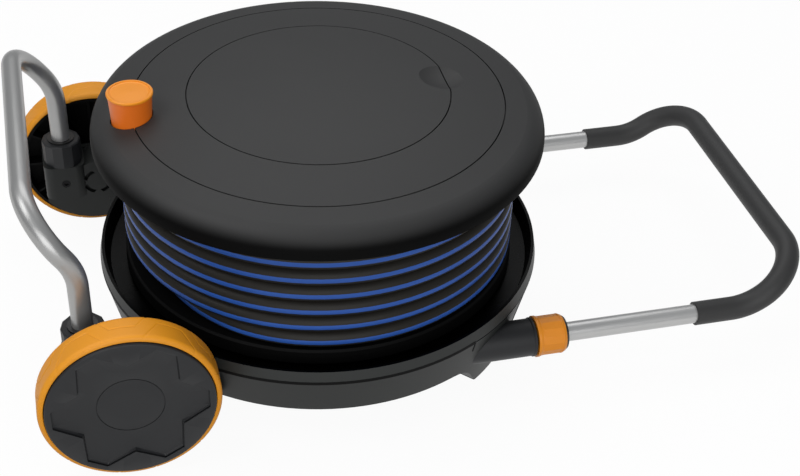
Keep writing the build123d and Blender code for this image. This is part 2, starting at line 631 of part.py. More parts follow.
def along_y(points, side, x, z):
    """A solid turned about an axle along Y from (radius, distance along Y) points."""
    body = revolve(Plane.XZ * make_face(Polyline(*points, close=True)), Axis.Z)
    return Pos(x, 0, z) * Rot(-90 * side, 0, 0) * body


wall_y = outside(FEED_Z) + INLET_BOSS_H
inlet_tip = wall_y + INLET_REACH
water_inlet = along_y(
    [
        (FEED_BORE, inlet_seat), (FEED_R + TOUCH, inlet_seat), (FEED_R + TOUCH, inlet_start),
        (INLET_BODY_R, inlet_start), (INLET_BODY_R, wall_y + SEAT), (INLET_NUT_R, wall_y + SEAT),
        (INLET_NUT_R, wall_y + 6), (INLET_R, wall_y + 6), (INLET_R, inlet_tip - 12),
        (INLET_R - 1.6, inlet_tip - 11), (INLET_R - 1.6, inlet_tip - 8), (INLET_R, inlet_tip - 7),
        (INLET_R, inlet_tip - 1), (INLET_R - 1, inlet_tip), (FEED_BORE, inlet_tip),
    ],
    1, 0, FEED_Z,
)
inlet_boss = rod(INLET_BOSS_R, (0, BASE_EDGE_R, FEED_Z), (0, wall_y, FEED_Z)) - turned(
    [
        (0, 0), (BASE_EDGE_R - 1, 0), (BASE_EDGE_R - 1, BASE_EDGE_Z), (BASE_TOP_R - 1, shell_top),
        (0, shell_top),
    ]
)
base_shell = base_shell + inlet_boss
base_shell = base_shell - rod(FEED_R + TOUCH, (0, STEM_R, FEED_Z), (0, inlet_seat, FEED_Z))
base_shell = base_shell - rod(INLET_BODY_R + TOUCH, (0, inlet_start - TOUCH, FEED_Z), (0, wall_y + 1, FEED_Z))

# ================================================================ arm sockets, bushes and twist collars
def along_x(points, side):
    """A solid turned about an arm's axis from (radius, x) points."""
    body = revolve(Plane.XZ * make_face(Polyline(*points, close=True)), Axis.Z)
    return Pos(0, side * ARM_Y, ARM_Z) * Rot(0, 90, 0) * body


bush_end = COLLAR_END_X + SEAT
collet_start = COLLAR_START_X + 7
facet_length = COLLAR_END_X - COLLAR_START_X - 10
facet_x = (COLLAR_START_X + COLLAR_END_X) / 2 + 1
for name, side in SIDES.items():
    PARTS[f"handle_socket_{name}"] = along_x(
        [
            (BUSH_R + TOUCH, SOCKET_INNER_X), (SOCKET_R, SOCKET_INNER_X),
            (SOCKET_R, SOCKET_END_X - SOCKET_LIP),
            (SOCKET_LIP_R, SOCKET_END_X - SOCKET_LIP + 1), (SOCKET_LIP_R, SOCKET_END_X - 0.8),
            (SOCKET_LIP_R - 0.8, SOCKET_END_X), (BUSH_R + TOUCH, SOCKET_END_X),
        ],
        side,
    )
    PARTS[f"arm_bush_{name}"] = along_x(
        [
            (TUBE_R + SLIDING, SOCKET_INNER_X), (BUSH_R, SOCKET_INNER_X), (BUSH_R, bush_end),
            (BUSH_FLANGE_R, bush_end), (BUSH_FLANGE_R, bush_end + BUSH_FLANGE_T - 0.8),
            (BUSH_FLANGE_R - 0.8, bush_end + BUSH_FLANGE_T), (TUBE_R + SLIDING, bush_end + BUSH_FLANGE_T),
        ],
        side,
    )
    collet = along_x(
        [
            (BUSH_R + TOUCH, collet_start), (COLLET_R, collet_start),
            (COLLET_R - 1, collet_start + COLLET_LENGTH),
            (BUSH_R + TOUCH, collet_start + COLLET_LENGTH),
        ],
        side,
    )
    slit = Pos(collet_start + COLLET_LENGTH, 0, 0) * Box(COLLET_LENGTH, 2 * COLLET_R + 2, SEAM)
    for k in range(3):
        collet = collet - Pos(0, side * ARM_Y, ARM_Z) * Rot(60 * k, 0, 0) * slit
    PARTS[f"clamp_collet_{name}"] = collet
    collar = along_x(
        [
            (BUSH_R + RUNNING, COLLAR_START_X), (COLLAR_LIP_R, COLLAR_START_X),
            (COLLAR_LIP_R, COLLAR_START_X + 2.5),
            (COLLAR_R, COLLAR_START_X + 4.5), (COLLAR_R, COLLAR_END_X - 3), (COLLAR_R - 1.5, COLLAR_END_X),
            (BUSH_R + RUNNING, COLLAR_END_X), (BUSH_R + RUNNING, collet_start + COLLET_LENGTH + SEAT),
            (COLLET_R + SEAT, collet_start + COLLET_LENGTH + SEAT), (COLLET_R + SEAT, collet_start - SEAT),
            (BUSH_R + RUNNING, collet_start - SEAT),
        ],
        side,
    )
    for k in range(COLLAR_RIDGE_COUNT):
        flat = Pos(facet_x, 0, COLLAR_R - RIDGE_DEPTH + HOSE_R) * Box(facet_length, HOSE_R, HOSE_OD)
        collar = collar - Pos(0, side * ARM_Y, ARM_Z) * Rot(FULL_TURN * k / COLLAR_RIDGE_COUNT, 0, 0) * flat
    PARTS[f"lock_collar_{name}"] = collar

# ================================================================ pull handle
arm_path = [
    (ARM_INNER_X, -ARM_Y, ARM_Z), (KNEE_X, -ARM_Y, ARM_Z), (HANDLE_X, -ARM_Y, HANDLE_Z),
    (HANDLE_X, ARM_Y, HANDLE_Z), (KNEE_X, ARM_Y, ARM_Z), (ARM_INNER_X, ARM_Y, ARM_Z),
]
bends = [KNEE_BEND, CORNER_BEND, CORNER_BEND, KNEE_BEND]
PARTS["handle_tube"] = bent(arm_path, bends, TUBE_R - TUBE_WALL, TUBE_R)
grip_path = [(GRIP_START_X, -ARM_Y, ARM_Z), *arm_path[1:-1], (GRIP_START_X, ARM_Y, ARM_Z)]
PARTS["handle_grip"] = bent(grip_path, bends, TUBE_R + TOUCH, GRIP_R)
plugs = []
for side in SIDES.values():
    plugs.append(rod(TUBE_R - TUBE_WALL - TOUCH, (ARM_INNER_X, side * ARM_Y, ARM_Z),
                     (ARM_INNER_X + 12, side * ARM_Y, ARM_Z)))
PARTS["handle_plugs"] = Compound(children=plugs)

# ================================================================ stand hoop
hoop_path = [
    (LEG_X, -LEG_Y, LEG_FOOT_Z), (LEG_X, -LEG_Y, HOOP_KNEE_Z), (HOOP_X, -LEG_Y, HOOP_Z),
    (HOOP_X, LEG_Y, HOOP_Z), (LEG_X, LEG_Y, HOOP_KNEE_Z), (LEG_X, LEG_Y, LEG_FOOT_Z),
]
hoop_bends = [HOOP_KNEE_BEND, HOOP_CORNER_BEND, HOOP_CORNER_BEND, HOOP_KNEE_BEND]
stand_hoop = bent(hoop_path, hoop_bends, TUBE_R - TUBE_WALL, TUBE_R)
stand_hoop = stand_hoop - rod(SCREW_R + TOUCH, (LEG_X, -BRACKET_BACK_Y, CLAMP_SCREW_Z),
                              (LEG_X, BRACKET_BACK_Y, CLAMP_SCREW_Z))
PARTS["stand_hoop"] = stand_hoop

# ================================================================ wheel brackets, nuts and axles
def bracket():
    """The moulding that carries one wheel and one leg of the hoop, on the +Y side."""
    half = LEG_X - BRACKET_LEFT_X
    depth = BRACKET_BACK_Y - BRACKET_FACE_Y
    block = Pos(LEG_X, BRACKET_FACE_Y + depth / 2, (LEG_FOOT_Z - 2 + BRACKET_TOP_Z) / 2) * Box(
        2 * half, depth, BRACKET_TOP_Z - LEG_FOOT_Z + 2
    )
    block = fillet(block.edges().filter_by(Axis.Z).sort_by(Axis.Y)[:2], BRACKET_ROUND)
    body = block + rod(AXLE_BOSS_R, (AXLE_X, AXLE_BOSS_Y, AXLE_Z), (AXLE_X, BRACKET_BACK_Y, AXLE_Z))
    plate = rod(BRACKET_PLATE_R, (AXLE_X, BRACKET_BACK_Y - BRACKET_PLATE_T, AXLE_Z),
                (AXLE_X, BRACKET_BACK_Y, AXLE_Z))
    keep = Pos(BRACKET_LEFT_X + 2 * BRACKET_PLATE_R, BRACKET_BACK_Y, BRACKET_TOP_Z - BRACKET_PLATE_R) * Box(
        4 * BRACKET_PLATE_R, 4 * BRACKET_PLATE_T, 2 * BRACKET_PLATE_R
    )
    body = body + (plate & keep)
    web = Pos((WEB_START_X + WEB_END_X) / 2, BRACKET_FACE_Y + depth / 2 + 2.5, (WEB_Z + WEB_TOP_Z) / 2) * Box(
        WEB_END_X - WEB_START_X, depth - 5, WEB_TOP_Z - WEB_Z
    )
    tub = turned(
        [
            (0, -1), (FOOT_R + SEAT, -1), (BASE_EDGE_R + SEAT, BASE_EDGE_Z), (BASE_TOP_R + SEAT, shell_top),
            (BASE_TOP_R + SEAT, FLANGE_TOP), (0, FLANGE_TOP),
        ]
    )
    body = (body + web) - tub
    body = body - rod(TUBE_R + TOUCH, (LEG_X, LEG_Y, LEG_FOOT_Z), (LEG_X, LEG_Y, BRACKET_TOP_Z + 1))
    body = body - rod(AXLE_R + TOUCH, (AXLE_X, AXLE_INNER_Y, AXLE_Z), (AXLE_X, BRACKET_BACK_Y + 1, AXLE_Z))
    slot_ring = Rot(90, 0, 0) * ring(AXLE_SLOT_R - AXLE_SLOT_W / 2, AXLE_SLOT_R + AXLE_SLOT_W / 2, -5, 5)
    slot = slot_ring & (Pos(AXLE_SLOT_R, 0, 0) * Box(AXLE_SLOT_R, 20, AXLE_SLOT_R))
    for k in range(4):
        body = body - Pos(AXLE_X, AXLE_BOSS_Y, AXLE_Z) * Rot(0, 45 + 90 * k, 0) * slot
    screw_from = (LEG_X, BRACKET_FACE_Y - 1, CLAMP_SCREW_Z)
    body = body - rod(SCREW_R + TOUCH, screw_from, (LEG_X, BRACKET_BACK_Y - BRACKET_PLATE_T, CLAMP_SCREW_Z))
    return body - rod(SCREW_HEAD_R + SEAT, screw_from, (LEG_X, BRACKET_FACE_Y + 2, CLAMP_SCREW_Z))


def on_side(shape, side):
    """The +Y piece, or its mirror image for the other side."""
    return shape if side > 0 else mirror(shape, Plane.XZ)


side_bracket = bracket()
leg_screw = rod(SCREW_R, (LEG_X, BRACKET_FACE_Y + 2, CLAMP_SCREW_Z),
                (LEG_X, BRACKET_BACK_Y - BRACKET_PLATE_T - 1, CLAMP_SCREW_Z))
leg_screw += rod(SCREW_HEAD_R, (LEG_X, BRACKET_FACE_Y, CLAMP_SCREW_Z),
                 (LEG_X, BRACKET_FACE_Y + 2, CLAMP_SCREW_Z))
socket_hex = extrude(Plane(origin=(LEG_X, BRACKET_FACE_Y - 1, CLAMP_SCREW_Z), z_dir=(0, 1, 0))
                     * RegularPolygon(SCREW_R, 6), 2.4)
leg_screw = leg_screw - socket_hex

web_screws = []
outward = Rot(0, 0, WEB_SCREW_ANGLE)
for z in WEB_SCREW_Z:
    wall_r = outside(z) - BASE_WALL
    web_screws.append(outward * rod(SCREW_R, (wall_r, 0, z), (wall_r + 22, 0, z)) + outward
                      * rod(SCREW_HEAD_R, (wall_r - 3.6, 0, z), (wall_r - SEAM, 0, z)))
    hole = outward * rod(SCREW_R + TOUCH, (wall_r - 3, 0, z), (wall_r + 23, 0, z))
    side_bracket = side_bracket - hole
    for side in SIDES.values():
        base_shell = base_shell - on_side(hole, side)

nut_profile = RegularPolygon(NUT_R, NUT_FLAT_COUNT)
loop_nut = extrude(Pos(0, 0, NUT_FOOT_Z) * nut_profile, NUT_TOP_Z - NUT_FOOT_Z)
loop_nut = chamfer(loop_nut.edges().group_by(Axis.Z)[-1], 1.2)
loop_nut = loop_nut - disc(TUBE_R + TOUCH, NUT_FOOT_Z - 1, NUT_TOP_Z + 1)
loop_nut = loop_nut - disc(FERRULE_R + TOUCH, NUT_TOP_Z - FERRULE_H, NUT_TOP_Z + 1)
ferrule = ring(TUBE_R + TOUCH, FERRULE_R, NUT_TOP_Z - FERRULE_H, NUT_TOP_Z + 1.5)
nut_at = Pos(LEG_X, LEG_Y, 0)

axle = rod(AXLE_R, (AXLE_X, AXLE_INNER_Y, AXLE_Z), (AXLE_X, AXLE_END_Y, AXLE_Z))
groove = rod(AXLE_R + 1, (AXLE_X, CLIP_Y, AXLE_Z), (AXLE_X, CLIP_Y + CLIP_T, AXLE_Z))
neck = rod(AXLE_R - 1, (AXLE_X, CLIP_Y - 1, AXLE_Z), (AXLE_X, CLIP_Y + CLIP_T + 1, AXLE_Z))
axle = axle - (groove - neck)
clip = tube(AXLE_R - 1 + TOUCH, AXLE_R + 4, (AXLE_X, CLIP_Y + TOUCH, AXLE_Z),
            (AXLE_X, CLIP_Y + CLIP_T - TOUCH, AXLE_Z))
clip = clip - Pos(AXLE_X, CLIP_Y, AXLE_Z - AXLE_R) * Box(AXLE_R, 6 * CLIP_T, 2 * AXLE_R)
leg_screws = []
wall_screws = []
ferrules = []
clips = []
for name, side in SIDES.items():
    PARTS[f"wheel_bracket_{name}"] = on_side(side_bracket, side)
    PARTS[f"hoop_nut_{name}"] = on_side(nut_at * loop_nut, side)
    PARTS[f"axle_pin_{name}"] = on_side(axle, side)
    ferrules.append(on_side(nut_at * ferrule, side))
    clips.append(on_side(clip, side))
    leg_screws.append(on_side(leg_screw, side))
    wall_screws += [on_side(screw, side) for screw in web_screws]
PARTS["hoop_ferrules"] = Compound(children=ferrules)
PARTS["axle_clips"] = Compound(children=clips)
PARTS["leg_screws"] = Compound(children=leg_screws)
PARTS["bracket_screws"] = Compound(children=wall_screws)

# ================================================================ wheels
tyre_in_r = WHEEL_R - TYRE_T
tyre = along_y(
    [
        (tyre_in_r, WHEEL_INNER_Y), (WHEEL_R - TYRE_EDGE, WHEEL_INNER_Y), (WHEEL_R - 1.2, WHEEL_INNER_Y + 2),
        (WHEEL_R, WHEEL_INNER_Y + TYRE_EDGE), (WHEEL_R, WHEEL_OUTER_Y - TYRE_EDGE),
        (WHEEL_R - 1.2, WHEEL_OUTER_Y - 2), (WHEEL_R - TYRE_EDGE, WHEEL_OUTER_Y), (tyre_in_r, WHEEL_OUTER_Y),
    ],
    1, AXLE_X, AXLE_Z,
)
rim_out = tyre_in_r - TOUCH
wheel_rim = along_y(
    [
        (WHEEL_BUSH_R + TOUCH, BRACKET_BACK_Y + SEAM), (WHEEL_HUB_R, BRACKET_BACK_Y + SEAM),
        (WHEEL_HUB_R, WEB_Y), (rim_out - 3, WEB_Y), (rim_out - 3, WHEEL_INNER_Y), (rim_out, WHEEL_INNER_Y),
        (rim_out, CAP_SEAT_Y), (rim_out - 3, CAP_SEAT_Y), (rim_out - 3, WEB_Y + 3),
        (WHEEL_BUSH_R + TOUCH, WEB_Y + 3),
    ],
    1, AXLE_X, AXLE_Z,
)
rib_length = rim_out - 3 - WHEEL_HUB_R + 1
for k in range(WHEEL_RIB_COUNT):
    rib = Pos((rim_out - 3 + WHEEL_HUB_R) / 2, (WEB_Y + WHEEL_INNER_Y + 2) / 2, 0) * Box(
        rib_length, WEB_Y - WHEEL_INNER_Y - 2, RIB_T
    )
    wheel_rim = wheel_rim + Pos(AXLE_X, 0, AXLE_Z) * Rot(0, FULL_TURN * k / WHEEL_RIB_COUNT, 0) * rib
wheel_bush = along_y(
    [
        (AXLE_R + RUNNING, BRACKET_BACK_Y + SEAT), (WHEEL_BUSH_R + 3, BRACKET_BACK_Y + SEAT),
        (WHEEL_BUSH_R + 3, BRACKET_BACK_Y + SEAM - TOUCH), (WHEEL_BUSH_R, BRACKET_BACK_Y + SEAM - TOUCH),
        (WHEEL_BUSH_R, CLIP_Y - SEAT), (AXLE_R + RUNNING, CLIP_Y - SEAT),
    ],
    1, AXLE_X, AXLE_Z,
)

star = []
for k in range(STAR_TIP_COUNT):
    tip = FULL_TURN * k / STAR_TIP_COUNT
    for angle, r in [(tip - STAR_TIP_HALF_ANGLE, STAR_TIP_R), (tip + STAR_TIP_HALF_ANGLE, STAR_TIP_R),
                     (tip + FULL_TURN / 2 / STAR_TIP_COUNT, STAR_NOTCH_R)]:
        star.append((r * cos(radians(angle)), r * sin(radians(angle))))
star_plane = Plane(origin=(AXLE_X, HUB_CAP_FACE_Y - 1, AXLE_Z), x_dir=(1, 0, 0), z_dir=(0, 1, 0))
star_plate = extrude(star_plane * make_face(Polyline(*star, close=True)), STAR_FACE_Y - HUB_CAP_FACE_Y + 1)
hub_cap = rod(HUB_CAP_R, (AXLE_X, CAP_SEAT_Y, AXLE_Z), (AXLE_X, HUB_CAP_FACE_Y, AXLE_Z)) + star_plate
hub_cap = hub_cap - rod(HUB_RING_R, (AXLE_X, HUB_DISC_Y, AXLE_Z), (AXLE_X, STAR_FACE_Y + 1, AXLE_Z))
for name, side in SIDES.items():
    PARTS[f"tyre_{name}"] = on_side(tyre, side)
    PARTS[f"wheel_rim_{name}"] = on_side(wheel_rim, side)
    PARTS[f"wheel_bush_{name}"] = on_side(wheel_bush, side)
    PARTS[f"hub_cap_{name}"] = on_side(hub_cap, side)

PARTS["base_shell"] = base_shell
PARTS["drip_tray"] = drip_tray
PARTS["bearing_washer"] = bearing_washer
PARTS["feed_pipe"] = feed_pipe
PARTS["water_inlet"] = water_inlet
PARTS.update(
    {
        "flange_rim": flange_rim,
        "flange_plate": flange_plate,
        "flange_panel": flange_panel,
        "storage_cup": storage_cup,
        "drum_core": drum_core,
        "flange_bottom": flange_bottom,
        "hub_retainer": hub_retainer,
        "swivel_rotor": swivel_rotor,
        "drum_elbow": drum_elbow,
        "knob_post": knob_post,
        "knob_pin": knob_pin,
        "hose_winding": hose_winding,
        "hose_end": hose_end,
        "lid": lid,
        "lid_seal": lid_seal,
        "knob_grip": knob_grip,
        "knob_cap": knob_cap,
        "swivel_stem": swivel_stem,
        "swivel_seals": swivel_seals,
    }
)
for name, shape in PARTS.items():
    write(name, shape)
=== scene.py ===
"""Visual model of a garden hose reel cart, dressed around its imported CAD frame.

Sizes in the classes are millimetres in the CAD model's frame: the origin lies on the reel's
axis at floor level, +Z is up, +X points to the pull handle and the wheels' axle lies along Y.
The mesh builders turn them into metres.
"""

from __future__ import annotations

import json
import logging
import math
from collections.abc import Callable, Mapping, Sequence
from dataclasses import dataclass
from enum import Enum

import bmesh
import bpy
import numpy as np
from mathutils import Matrix, Vector

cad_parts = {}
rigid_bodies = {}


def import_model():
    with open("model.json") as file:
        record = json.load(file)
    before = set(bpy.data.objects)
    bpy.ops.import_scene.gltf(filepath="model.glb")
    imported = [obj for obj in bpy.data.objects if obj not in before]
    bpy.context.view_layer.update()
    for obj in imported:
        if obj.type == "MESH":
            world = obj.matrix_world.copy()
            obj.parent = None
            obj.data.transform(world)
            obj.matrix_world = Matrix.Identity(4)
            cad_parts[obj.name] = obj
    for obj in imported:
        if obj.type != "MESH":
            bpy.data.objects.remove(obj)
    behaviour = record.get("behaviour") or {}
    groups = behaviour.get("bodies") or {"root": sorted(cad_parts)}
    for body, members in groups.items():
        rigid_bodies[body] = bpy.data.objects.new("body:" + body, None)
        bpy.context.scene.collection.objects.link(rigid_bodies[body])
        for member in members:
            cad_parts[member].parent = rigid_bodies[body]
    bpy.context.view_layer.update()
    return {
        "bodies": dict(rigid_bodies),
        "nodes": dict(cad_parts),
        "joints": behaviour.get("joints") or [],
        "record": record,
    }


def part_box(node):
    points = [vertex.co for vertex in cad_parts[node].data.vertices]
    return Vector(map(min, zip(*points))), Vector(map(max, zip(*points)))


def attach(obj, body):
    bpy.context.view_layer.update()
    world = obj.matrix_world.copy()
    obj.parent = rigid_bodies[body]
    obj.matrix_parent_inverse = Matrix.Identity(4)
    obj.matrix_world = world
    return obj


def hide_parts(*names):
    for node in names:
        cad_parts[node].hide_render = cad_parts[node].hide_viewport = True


MM = 0.001
log = logging.getLogger("hose_reel_cart")

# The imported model, filled in by main().
FRAME: dict[str, object] = {}

Point = tuple[float, float, float]
Flat = tuple[float, float]
Corner = tuple[float, float, float]


class Side(Enum):
    """A side of the cart, by the sign of its Y."""

    LEFT = 1
    RIGHT = -1

    @property
    def word(self) -> str:
        """The side's name as the CAD nodes spell it."""
        return self.name.lower()


class Tread(Enum):
    """The two rows of the tyre's embossed pattern, by the shoulder that each grows from."""

    OUTER = 1
    INNER = -1


# ------------------------------------------------------------------ shader tools


def linear(colour: str) -> tuple[float, float, float, float]:
    """Turns an sRGB hex colour into linear RGBA.

    Args:
        colour: A # and six hex digits.

    Returns:
        The linear red, green, blue and an alpha of 1.
    """
    digits = colour.lstrip("#")
    channels = [int(digits[i : i + 2], 16) / 255 for i in (0, 2, 4)]
    flat = [c / 12.92 if c <= 0.04045 else ((c + 0.055) / 1.055) ** 2.4 for c in channels]
    return (flat[0], flat[1], flat[2], 1.0)


def add_node(
    tree: bpy.types.NodeTree,
    kind: str,
    settings: Mapping[str, object] | None = None,
    inputs: Mapping[str | int, object] | None = None,
) -> bpy.types.Node:
    """Adds one shader node with its settings and links.

    Args:
        tree: The node tree that gets the node.
        kind: The node's type name.
        settings: Attributes of the node.
        inputs: For an input's name or number, its value or the output socket that feeds it.

    Returns:
        The new node.
    """
    node = tree.nodes.new(kind)
    for key, value in (settings or {}).items():
        setattr(node, key, value)
    for key, value in (inputs or {}).items():
        if isinstance(value, bpy.types.NodeSocket):
            tree.links.new(value, node.inputs[key])
        else:
            node.inputs[key].default_value = value
    return node


def per_metre(millimetres: float) -> float:
    """The texture scale that gives a pattern of that many millimetres."""
    return 1.0 / (millimetres * MM)


@dataclass(frozen=True)
class Finish:
    """What every finish shares: its name, its two close tones and how rough it is.

    The two tones drift into each other over hands' breadths, as the shade of a real
    surface does, so that no large face is one flat colour.
    """

    name: str
    colour: str
    drift: str
    roughness: float
    drift_mm: float = 70.0
    uneven: float = 0.05
    ior: float = 1.5
    shine: float = 0.5

    def tone(self, tree: bpy.types.NodeTree, vector: bpy.types.NodeSocket) -> bpy.types.NodeSocket:
        """The colour of the surface.

        Args:
            tree: The material's node tree.
            vector: Where the noise of the drift is read.

        Returns:
            A colour that drifts between the two tones.
        """
        noise = add_node(
            tree,
            "ShaderNodeTexNoise",
            inputs={"Vector": vector, "Scale": per_metre(self.drift_mm), "Detail": 3.0},
        )
        mix = add_node(
            tree,
            "ShaderNodeMix",
            {"data_type": "RGBA"},
            {"Factor": noise.outputs["Fac"], "A": linear(self.colour), "B": linear(self.drift)},
        )
        return mix.outputs["Result"]

    def rough(
        self, tree: bpy.types.NodeTree, height: bpy.types.NodeSocket
    ) -> bpy.types.NodeSocket:
        """The roughness of the surface.

        Args:
            tree: The material's node tree.
            height: The surface's relief, from 0 to 1.

        Returns:
            A roughness that follows the relief.
        """
        spread = add_node(
            tree,
            "ShaderNodeMapRange",
            inputs={
                "Value": height,
                "To Min": self.roughness - self.uneven,
                "To Max": self.roughness + self.uneven,
            },
        )
        return spread.outputs["Result"]

    def relief(
        self, tree: bpy.types.NodeTree
    ) -> tuple[bpy.types.NodeSocket, bpy.types.NodeSocket, float]:
        """The relief of the surface, which each kind of finish gives its own pattern.

        Args:
            tree: The material's node tree.

        Returns:
            The vector that the tone uses, the relief from 0 to 1 and its depth in millimetres.
        """
        raise NotImplementedError

    def surface(self) -> dict[str | int, object]:
        """Fixed values of the shader's own sockets."""
        return {"IOR": self.ior, "Specular IOR Level": self.shine}

    def extra(self, tree: bpy.types.NodeTree) -> dict[str | int, object]:
        """Sockets of the shader that nodes feed."""
        return {}

    def material(self) -> bpy.types.Material:
        """Builds the material the first time, and finds it again after that.

        Returns:
            The material.
        """
        found = bpy.data.materials.get(self.name)
        if found is not None and "finish" in found:
            return found
        made = bpy.data.materials.new(self.name)
        made["finish"] = type(self).__name__
        made.use_nodes = True
        tree = made.node_tree
        tree.nodes.clear()
        vector, height, depth = self.relief(tree)
        bump = add_node(
            tree,
            "ShaderNodeBump",
            inputs={"Height": height, "Distance": depth * MM, "Strength": 1.0},
        )
        shader = add_node(
            tree,
            "ShaderNodeBsdfPrincipled",
            inputs={
                "Base Color": self.tone(tree, vector),
                "Roughness": self.rough(tree, height),
                "Normal": bump.outputs["Normal"],
                **self.surface(),
                **self.extra(tree),
            },
        )
        add_node(tree, "ShaderNodeOutputMaterial", inputs={"Surface": shader.outputs["BSDF"]})
        return made


@dataclass(frozen=True)
class GrainedPlastic(Finish):
    """Polypropylene or ABS from a spark-eroded tool: an even matte grain that breaks highlights up.

    Real grain is about 0.2 mm across. It is drawn coarser, so that it still shows.
    """

    grain_mm: float = 0.9
    depth_mm: float = 0.03

    def relief(
        self, tree: bpy.types.NodeTree
    ) -> tuple[bpy.types.NodeSocket, bpy.types.NodeSocket, float]:
        """Fine round grain.

        Args:
            tree: The material's node tree.

        Returns:
            The vector that the tone uses, the relief from 0 to 1 and its depth in millimetres.
        """
        place = add_node(tree, "ShaderNodeTexCoord").outputs["Object"]
        grain = add_node(
            tree,
            "ShaderNodeTexNoise",
            inputs={"Vector": place, "Scale": per_metre(self.grain_mm), "Detail": 2.0},
        )
        return place, grain.outputs["Fac"], self.depth_mm


@dataclass(frozen=True)
class RolledPlastic(GrainedPlastic):
    """The same grained plastic on a rolled edge: it darkens where the roll turns from the sky.

    That darkening is painted shade: colour and shine fall off where the roll turns from the sky, in
    place of the shade that lies there.
    Foot and shoulder are the heights of the surface's normal between which that happens.
    """

    # The colour of the painted shade where the roll turns under.
    shade: str = "#050505"
    under_shine: float = 0.05
    shoulder: float = 0.9
    foot: float = 0.3

    def upward(
        self, tree: bpy.types.NodeTree, under: float, top: float
    ) -> bpy.types.NodeSocket:
        """A value that follows how far the surface turns up to the sky.

        Args:
            tree: The material's node tree.
            under: Its value where the normal's height is at or below the foot.
            top: Its value where the normal's height is at or above the shoulder.

        Returns:
            The value, eased between the two.
        """
        normal = add_node(tree, "ShaderNodeNewGeometry").outputs["Normal"]
        height = add_node(tree, "ShaderNodeSeparateXYZ", inputs={0: normal}).outputs["Z"]
        share = add_node(
            tree,
            "ShaderNodeMapRange",
            {"interpolation_type": "SMOOTHSTEP"},
            {
                "Value": height,
                "From Min": self.foot,
                "From Max": self.shoulder,
                "To Min": under,
                "To Max": top,
            },
        )
        return share.outputs["Result"]

    def tone(self, tree: bpy.types.NodeTree, vector: bpy.types.NodeSocket) -> bpy.types.NodeSocket:
        """The drifting colour, darker the further the surface turns from upwards.

        Args:
            tree: The material's node tree.
            vector: Where the noise of the drift is read.

        Returns:
            The colour.
        """
        # Painted shade: the colour turns to the shade colour as the surface turns from upwards.
        base = super().tone(tree, vector)
        mix = add_node(
            tree,
            "ShaderNodeMix",
            {"data_type": "RGBA"},
            {"Factor": self.upward(tree, 0.0, 1.0), "A": linear(self.shade), "B": base},
        )
        return mix.outputs["Result"]

    def extra(self, tree: bpy.types.NodeTree) -> dict[str | int, object]:
        """Less shine on the roll than on the top."""
        # Painted shade on the shine too: less of it where the roll turns under.
        return {"Specular IOR Level": self.upward(tree, self.under_shine, self.shine)}


@dataclass(frozen=True)
class PolishedPlastic(Finish):
    """Polypropylene from a polished tool: dark and wet-looking, with the slow ripple of sink marks."""

    ripple_mm: float = 22.0
    depth_mm: float = 0.05

    def relief(
        self, tree: bpy.types.NodeTree
    ) -> tuple[bpy.types.NodeSocket, bpy.types.NodeSocket, float]:
        """The slow ripple of sink marks.

        Args:
            tree: The material's node tree.

        Returns:
            The vector that the tone uses, the relief from 0 to 1 and its depth in millimetres.
        """
        place = add_node(tree, "ShaderNodeTexCoord").outputs["Object"]
        ripple = add_node(
            tree,
            "ShaderNodeTexNoise",
            inputs={"Vector": place, "Scale": per_metre(self.ripple_mm), "Detail": 1.0},
        )
        return place, ripple.outputs["Fac"], self.depth_mm


@dataclass(frozen=True)
class DrawnFinish(Finish):
    """A surface drawn or extruded through a die: fine lines run along its length.

    It follows the piece's own map, in metres round and along it. Die lines are about 0.05 mm
    apart and are drawn coarser, so that they still show.
    """

    line_mm: float = 0.45
    run_mm: float = 60.0
    depth_mm: float = 0.006

    def relief(
        self, tree: bpy.types.NodeTree
    ) -> tuple[bpy.types.NodeSocket, bpy.types.NodeSocket, float]:
        """Fine lines that run along the piece.

        Args:
            tree: The material's node tree.

        Returns:
            The vector that the tone uses, the relief from 0 to 1 and its depth in millimetres.
        """
        around = add_node(tree, "ShaderNodeUVMap", {"uv_map": "run"}).outputs["UV"]
        pulled = add_node(
            tree,
            "ShaderNodeMapping",
            inputs={
                "Vector": around,
                "Scale": (per_metre(self.line_mm), per_metre(self.run_mm), 1.0),
            },
        )
        lines = add_node(
            tree,
            "ShaderNodeTexNoise",
            inputs={"Vector": pulled.outputs["Vector"], "Scale": 1.0, "Detail": 3.0},
        )
        place = add_node(tree, "ShaderNodeTexCoord").outputs["Object"]
        return place, lines.outputs["Fac"], self.depth_mm


@dataclass(frozen=True)
class AnodisedTube(DrawnFinish):
    """Drawn aluminium tube with a clear satin anodised layer: soft bands of light along it."""

    metal: float = 0.65

    def surface(self) -> dict[str | int, object]:
        """Metal under a milky clear layer, which scatters a share of the light as paint does."""
        return {"Metallic": self.metal}


@dataclass(frozen=True)
class PlatedMetal(GrainedPlastic):
    """Plated or blackened steel and brass: bare metal with a slightly frosted gloss."""

    def surface(self) -> dict[str | int, object]:
        """Plain metal."""
        return {"Metallic": 1.0}


